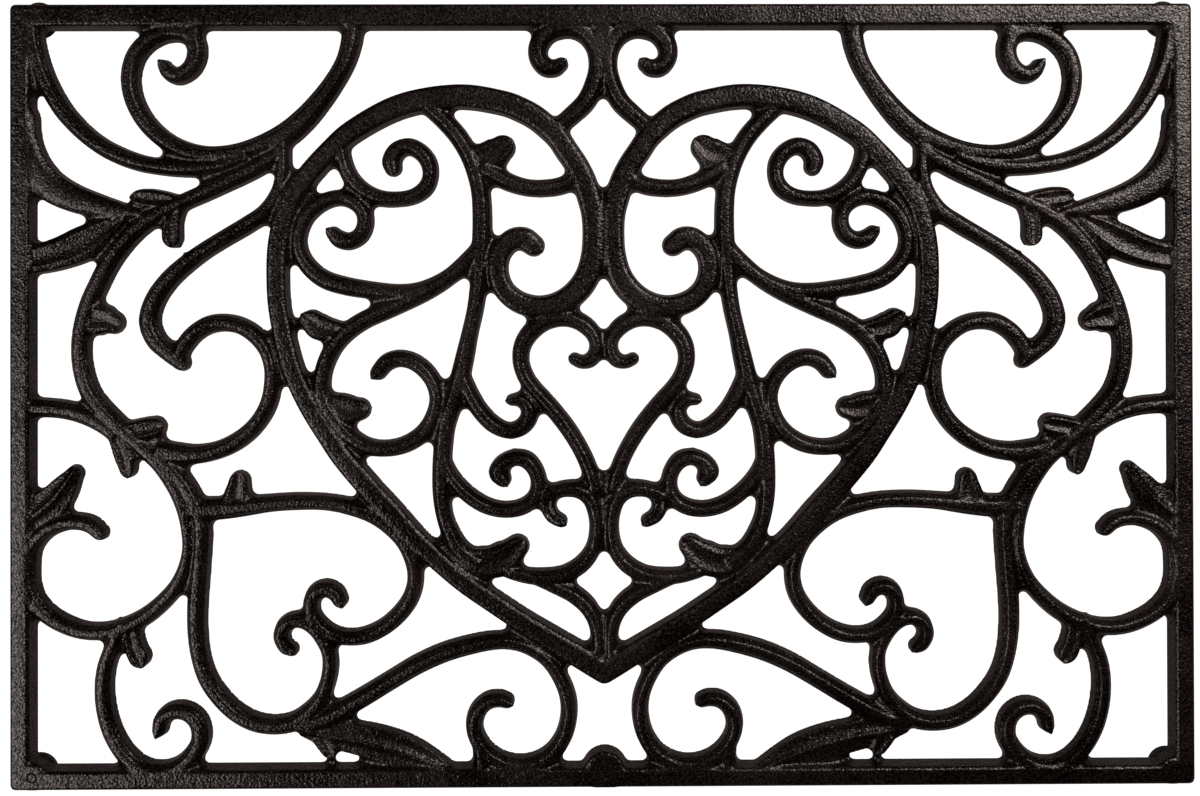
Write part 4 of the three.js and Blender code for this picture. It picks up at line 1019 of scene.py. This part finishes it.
def noise_socket(tree, coordinates, feature, detail, roughness=0.5):
    """Noise of about one feature size in metres."""
    node = add_node(tree, "ShaderNodeTexNoise", noise_dimensions="3D")
    tree.links.new(coordinates, node.inputs["Vector"])
    node.inputs["Scale"].default_value = 1 / feature
    node.inputs["Detail"].default_value = detail
    node.inputs["Roughness"].default_value = roughness
    return node.outputs[0]


def mapped(tree, value, old_range, new_range):
    """Socket that maps a range to another and stops at its ends."""
    return add_node(tree, "ShaderNodeMapRange", value, *old_range, *new_range, clamp=True).outputs[0]


def mixed(tree, share, first, second):
    """Colour socket that goes from one colour to another as a socket goes from 0 to 1."""
    node = add_node(tree, "ShaderNodeMix", data_type="RGBA")
    tree.links.new(share, node.inputs[0])
    node.inputs[6].default_value = (*first, 1)
    node.inputs[7].default_value = (*second, 1)
    return node.outputs[2]


def shaded(colour, brightness):
    """A colour made darker or brighter."""
    return [brightness * value for value in colour]


def bumped(tree, height, strength, distance, normal=None):
    """Normal socket of a Bump node."""
    node = tree.nodes.new("ShaderNodeBump")
    node.inputs["Strength"].default_value = strength
    node.inputs["Distance"].default_value = distance
    tree.links.new(height, node.inputs["Height"])
    if normal is not None:
        tree.links.new(normal, node.inputs["Normal"])
    return node.outputs[0]


def painted_iron(settings):
    """Glossy black-brown paint over the grain that the sand mould leaves."""
    material, tree, shader, coordinates = new_material("painted_cast_iron")
    size = settings.grain_size
    strength = settings.grain_strength
    colour = settings.paint_colour
    grain = noise_socket(tree, coordinates, size, detail=2)
    specks = noise_socket(tree, coordinates, SPECK_SIZE * size, detail=2, roughness=0.6)
    lumps = noise_socket(tree, coordinates, LUMP_SIZE * size, detail=2)
    patches = noise_socket(tree, coordinates, PATCH_SIZE * size, detail=3)
    normal = bumped(tree, lumps, strength, LUMP_DEPTH * size)
    normal = bumped(tree, grain, strength, GRAIN_DEPTH * size, normal)
    tree.links.new(normal, shader.inputs["Normal"])
    roughness = (settings.roughness - PATCH_ROUGHNESS, settings.roughness + PATCH_ROUGHNESS)
    tree.links.new(mapped(tree, patches, COMMON_NOISE, roughness), shader.inputs["Roughness"])
    specks = math_socket(tree, "MULTIPLY_ADD", patches, PATCH_WEIGHT, specks)
    # The specks of colour are random tone, and the lightest of them are also painted glints of the
    # grain's gloss
    speck_tone_and_glints = mixed(tree, mapped(tree, specks, SPECK_AND_GLINT_NOISE, (0, 1)),
                 shaded(colour, SPECK_DARKNESS), shaded(colour, SPECK_AND_GLINT_BRIGHTNESS))
    tree.links.new(speck_tone_and_glints, shader.inputs["Base Color"])
    tree.links.new(mapped(tree, specks, PORE_NOISE, PORE_GLOSS), shader.inputs["Specular IOR Level"])
    return material


def moulded_rubber(settings):
    """Matt black rubber with a fine grain."""
    material, tree, shader, coordinates = new_material("foot_rubber")
    grain = noise_socket(tree, coordinates, RUBBER_GRAIN, detail=2)
    normal = bumped(tree, grain, strength=0.4, distance=RUBBER_GRAIN_DEPTH)
    tree.links.new(normal, shader.inputs["Normal"])
    patches = noise_socket(tree, coordinates, RUBBER_PATCH, detail=2)
    colour = settings.rubber_colour
    shade = mixed(tree, patches, shaded(colour, RUBBER_DARKNESS), colour)
    tree.links.new(shade, shader.inputs["Base Color"])
    shader.inputs["Roughness"].default_value = RUBBER_ROUGHNESS
    return material


def dark_steel(settings):
    """Blackened steel with a faint grain."""
    material, tree, shader, coordinates = new_material("screw_steel")
    grain = noise_socket(tree, coordinates, STEEL_GRAIN, detail=3)
    tree.links.new(mapped(tree, grain, COMMON_NOISE, STEEL_ROUGHNESS), shader.inputs["Roughness"])
    normal = bumped(tree, grain, strength=0.2, distance=STEEL_GRAIN_DEPTH)
    tree.links.new(normal, shader.inputs["Normal"])
    shader.inputs["Base Color"].default_value = (*settings.steel_colour, 1)
    shader.inputs["Metallic"].default_value = 1
    return material


def white_ground(settings):
    """White ground that casts only a little of its light on the mat."""
    material, tree, shader, _ = new_material("white_ground")
    tree.nodes.remove(shader)
    glow = tree.nodes.new("ShaderNodeEmission")
    seen = tree.nodes.new("ShaderNodeLightPath").outputs["Is Camera Ray"]
    strength = mapped(tree, seen, (0, 1), (GROUND_LIGHT, settings.floor_brightness))
    tree.links.new(strength, glow.inputs["Strength"])
    tree.links.new(mixed(tree, seen, GROUND_TINT, (1, 1, 1)), glow.inputs["Color"])
    output = next(node for node in tree.nodes if node.type == "OUTPUT_MATERIAL")
    tree.links.new(glow.outputs[0], output.inputs[0])
    return material


# Pieces

def finish_piece(piece, material, slot, *nodes):
    """Gives a piece its material and says what it rides on and which nodes it replaces; slot is not used.
    """
    piece.data.materials.clear()
    piece.data.materials.append(material)
    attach(piece, "root")
    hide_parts(*nodes)


def foot_mesh(name, x, y):
    """Round rubber foot with a soft lower edge and the recess for its screw's head."""
    low, high = BACK_FOOT[0].z, BACK_FOOT[1].z
    radius = (BACK_FOOT[1].x - BACK_FOOT[0].x) / 2
    softness = 1.1 * MM
    soft_steps = 6
    hole = 2.5 * MM
    recess = 4.3 * MM
    recess_top = 2.2 * MM
    edge = 0.3 * MM
    outline = [
        (hole, high), (hole, recess_top), (recess, recess_top),
        (recess, low + edge), (recess + edge, low),
    ]
    for step in range(soft_steps + 1):
        angle = step * math.pi / (2 * soft_steps)
        out = radius - softness + softness * math.sin(angle)
        outline.append((out, low + softness - softness * math.cos(angle)))
    outline += [(radius, high - edge), (radius - edge, high), (hole, high)]
    bm = bmesh.new()
    turn_outline(bm, outline, x, y)
    return closed_mesh(bm, name)


def closed_mesh(bm, name):
    """Mesh with its doubles merged, its faces turned outwards, its curves smooth and its edges sharp."""
    bmesh.ops.remove_doubles(bm, verts=bm.verts, dist=0.001 * MM)
    bmesh.ops.recalc_face_normals(bm, faces=bm.faces)
    mesh = bpy.data.meshes.new(name)
    bm.to_mesh(mesh)
    bm.free()
    mesh.shade_smooth()
    mesh.set_sharp_from_angle(angle=math.radians(35))
    return mesh


def screw_mesh(name, x, y, top):
    """Screw with a round head below and a thin rim round the hollow, spread end of its shank."""
    shank = 2.2 * MM
    spread = 2.75 * MM
    spread_depth = 1.5 * MM
    head = 4 * MM
    head_low = SCREW[0].z
    head_high = head_low + 1.4 * MM
    bevel = 0.3 * MM
    rim = 0.85 * MM
    rim_height = 0.4 * MM
    outline = [
        (0, head_low), (head - 2 * bevel, head_low), (head, head_low + bevel), (head, head_high - bevel),
        (head - bevel, head_high), (shank, head_high), (shank, top - spread_depth),
        (spread, top - spread_depth), (spread, top - bevel), (spread - bevel / 2, top),
        (spread - rim, top), (spread - rim - bevel / 2, top - rim_height), (0, top - rim_height),
    ]
    bm = bmesh.new()
    turn_outline(bm, outline, x, y)
    return closed_mesh(bm, name)


# Settings, operators and panel

class DoormatSettings(bpy.types.PropertyGroup):
    """Sizes and colours that a user would change."""

    fillet_radius: bpy.props.FloatProperty(
        name="Fillet radius", description="Radius of the webs of iron in the crotches between bars",
        default=2.5 * MM, min=0.3 * MM, max=4 * MM, unit="LENGTH", precision=5)
    crease_radius: bpy.props.FloatProperty(
        name="Crease radius", description="Radius of the creases on the crowns and at the webs' edges",
        default=1.1 * MM, min=0.3 * MM, max=3 * MM, unit="LENGTH", precision=5)
    shape_grain: bpy.props.FloatProperty(
        name="Shape grain", description="Size of the smallest detail of the fused casting's surface",
        default=0.62 * MM, min=0.4 * MM, max=2 * MM, unit="LENGTH", precision=5)
    sweep_step: bpy.props.FloatProperty(
        name="Sweep step", description="Distance between the sections that are swept along each bar",
        default=0.8 * MM, min=0.4 * MM, max=4 * MM, unit="LENGTH", precision=5)
    adaptivity: bpy.props.FloatProperty(
        name="Adaptivity", description="How far flat faces of the casting are joined into larger ones",
        default=0.03, min=0, max=1)
    paint_colour: bpy.props.FloatVectorProperty(
        name="Paint", description="Colour of the paint on the casting",
        default=(0.0045, 0.0027, 0.0021), size=3, min=0, max=1, subtype="COLOR")
    roughness: bpy.props.FloatProperty(
        name="Paint roughness", description="Roughness of the paint's gloss",
        default=0.24, min=0, max=1)
    grain_size: bpy.props.FloatProperty(
        name="Grain", description="Size of the grains that the sand mould leaves",
        default=1.2 * MM, min=0.2 * MM, max=4 * MM, unit="LENGTH", precision=5)
    grain_strength: bpy.props.FloatProperty(
        name="Grain strength", description="How strongly the grain shows in the gloss",
        default=0.9, min=0, max=1)
    rubber_colour: bpy.props.FloatVectorProperty(
        name="Rubber", description="Colour of the feet",
        default=(0.012, 0.011, 0.0105), size=3, min=0, max=1, subtype="COLOR")
    steel_colour: bpy.props.FloatVectorProperty(
        name="Steel", description="Colour of the screws",
        default=(0.005, 0.0047, 0.0044), size=3, min=0, max=1, subtype="COLOR")
    floor_brightness: bpy.props.FloatProperty(
        name="Floor brightness", description="How white the ground under the mat looks",
        default=1.1, min=0, max=4)
    lamp_power: bpy.props.FloatProperty(
        name="Lamp power", description="Power that the soft studio lamps take their shares of",
        default=18, min=0, max=200, unit="POWER")


class DOORMAT_OT_casting(bpy.types.Operator):
    """Cast the frame, heart, scrolls, vines and leaves, and part the casting into its members"""

    bl_idname = "doormat.casting"
    bl_label = "Casting"

    def execute(self, context):
        settings = context.scene.doormat
        iron = painted_iron(settings)
        paths = link_object("pattern_paths", path_mesh())
        bars = run_tree(sweep_tree(iron), paths, {
            "Step": settings.sweep_step, "Draft": DRAFT, "Casting height": CASTING_HEIGHT})
        raw = raw_casting(bars)
        fused = run_tree(fuse_tree(iron), raw, {
            "Grain of shape": settings.shape_grain, "Fillet radius": settings.fillet_radius,
            "Crease radius": settings.crease_radius, "Least detail": settings.adaptivity,
            "Web top": CASTING_BOTTOM + WEB_HEIGHT})
        names, claims = claim_map()
        owner = owners_of(read_numbers(fused.polygons, "center", 3), claims)
        owner = absorb_islands(owner, *face_neighbours(fused))
        sizes = read_numbers(fused.polygons, "loop_total", kind=np.int64)
        casting = (
            np.clip(read_numbers(fused.vertices, "co", 3), *CAD_BOX),
            read_numbers(fused.vertex_normals, "vector", 3),
            read_numbers(fused.loops, "vertex_index", kind=np.int64),
            np.concatenate(([0], np.cumsum(sizes))),
        )
        for index, name in enumerate(names):
            faces = np.flatnonzero(owner == index)
            piece = link_object(f"cast_{name}", member_mesh(f"cast_{name}", casting, faces))
            finish_piece(piece, iron, "painted_cast_iron", name)
        for obj in (paths, raw):
            bpy.data.objects.remove(obj)
        return {"FINISHED"}


class DOORMAT_OT_feet(bpy.types.Operator):
    """Mould the four rubber feet"""

    bl_idname = "doormat.feet"
    bl_label = "Feet"

    def execute(self, context):
        rubber = moulded_rubber(context.scene.doormat)
        for node in (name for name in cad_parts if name.startswith("foot_") and "screw" not in name):
            low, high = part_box(node)
            middle = (low + high) / 2
            name = f"rubber_{node}"
            piece = link_object(name, foot_mesh(name, middle.x, middle.y))
            finish_piece(piece, rubber, "foot_rubber", node)
        return {"FINISHED"}


class DOORMAT_OT_foot_screws(bpy.types.Operator):
    """Turn the screws that hold the feet: the rim round the end of one shows"""

    bl_idname = "doormat.foot_screws"
    bl_label = "Foot screws"

    def execute(self, context):
        steel = dark_steel(context.scene.doormat)
        for node in (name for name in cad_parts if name.startswith("foot_screw_")):
            low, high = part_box(node)
            middle = (low + high) / 2
            name = node.replace("foot_screw", "screw")
            end = high.z if node == SHOWING_SCREW else CASTING_BOTTOM + RAIL_HEIGHT - HIDDEN_SCREW_DEPTH
            piece = link_object(name, screw_mesh(name, middle.x, middle.y, end))
            finish_piece(piece, steel, "screw_steel", node)
        return {"FINISHED"}


def add_area_lamp(name, place, target, width, height, power, colour):
    """Soft rectangular lamp that faces a point."""
    lamp = bpy.data.lights.new(name, "AREA")
    lamp.shape = "RECTANGLE"
    lamp.size = width
    lamp.size_y = height
    lamp.energy = power
    lamp.color = colour
    obj = bpy.data.objects.new(name, lamp)
    bpy.context.scene.collection.objects.link(obj)
    obj.location = place
    obj.rotation_euler = (Vector(target) - Vector(place)).to_track_quat("-Z", "Y").to_euler()
    return obj


class DOORMAT_OT_studio(bpy.types.Operator):
    """Lay the white ground and set up the soft lamps and the camera over the mat"""

    bl_idname = "doormat.studio"
    bl_label = "Studio"

    def execute(self, context):
        settings = context.scene.doormat
        bm = bmesh.new()
        half = GROUND_SIZE / 2
        corners = ((-half, -half), (half, -half), (half, half), (-half, half))
        bm.faces.new([bm.verts.new((x, y, GROUND_LEVEL)) for x, y in corners])
        mesh = bpy.data.meshes.new("ground")
        bm.to_mesh(mesh)
        bm.free()
        ground = link_object("ground", mesh)
        mesh.materials.append(white_ground(settings))

        world = bpy.data.worlds.new("studio_room")
        world.use_nodes = True
        world.node_tree.nodes["Background"].inputs[0].default_value = (1, 1, 1, 1)
        world.node_tree.nodes["Background"].inputs[1].default_value = WORLD_STRENGTH
        context.scene.world = world

        for name, place, width, height, share in LAMPS:
            below = (*place[:2], 0)
            power = settings.lamp_power * share
            add_area_lamp(name, place, below, width, height, power, LAMP_COLOUR)

        camera = bpy.data.cameras.new("camera")
        camera.lens = CAMERA_LENS
        camera.sensor_width = 36
        camera.shift_x = CAMERA_SHIFT[0]
        camera.shift_y = CAMERA_SHIFT[1]
        camera.clip_start = 0.01
        obj = bpy.data.objects.new("camera", camera)
        context.scene.collection.objects.link(obj)
        obj.location = CAMERA_PLACE
        obj.rotation_euler = Euler([math.radians(a) for a in CAMERA_TILT], "XYZ")
        context.scene.camera = obj
        context.scene.view_settings.view_transform = "Standard"
        return {"FINISHED"}


class DOORMAT_PT_panel(bpy.types.Panel):
    """Sizes, colours and steps of the door mat"""

    bl_idname = "DOORMAT_PT_panel"
    bl_label = "Door mat"
    bl_space_type = "VIEW_3D"
    bl_region_type = "UI"
    bl_category = "Door mat"

    def draw(self, context):
        settings = context.scene.doormat
        for name in DoormatSettings.__annotations__:
            self.layout.prop(settings, name)
        for operator in STEPS:
            self.layout.operator(operator.bl_idname)


STEPS = (DOORMAT_OT_casting, DOORMAT_OT_feet, DOORMAT_OT_foot_screws, DOORMAT_OT_studio)
CLASSES = (DoormatSettings, *STEPS, DOORMAT_PT_panel)


def register():
    """Registers the classes and the scene's settings."""
    for cls in CLASSES:
        bpy.utils.register_class(cls)
    bpy.types.Scene.doormat = bpy.props.PointerProperty(type=DoormatSettings)


def unregister():
    """Takes the settings and the classes away again."""
    del bpy.types.Scene.doormat
    for cls in reversed(CLASSES):
        bpy.utils.unregister_class(cls)


def main():
    """Builds the whole mat and its studio."""
    register()
    bpy.ops.doormat.casting()
    bpy.ops.doormat.feet()
    bpy.ops.doormat.foot_screws()
    bpy.ops.doormat.studio()


if __name__ == "__main__":
    main()
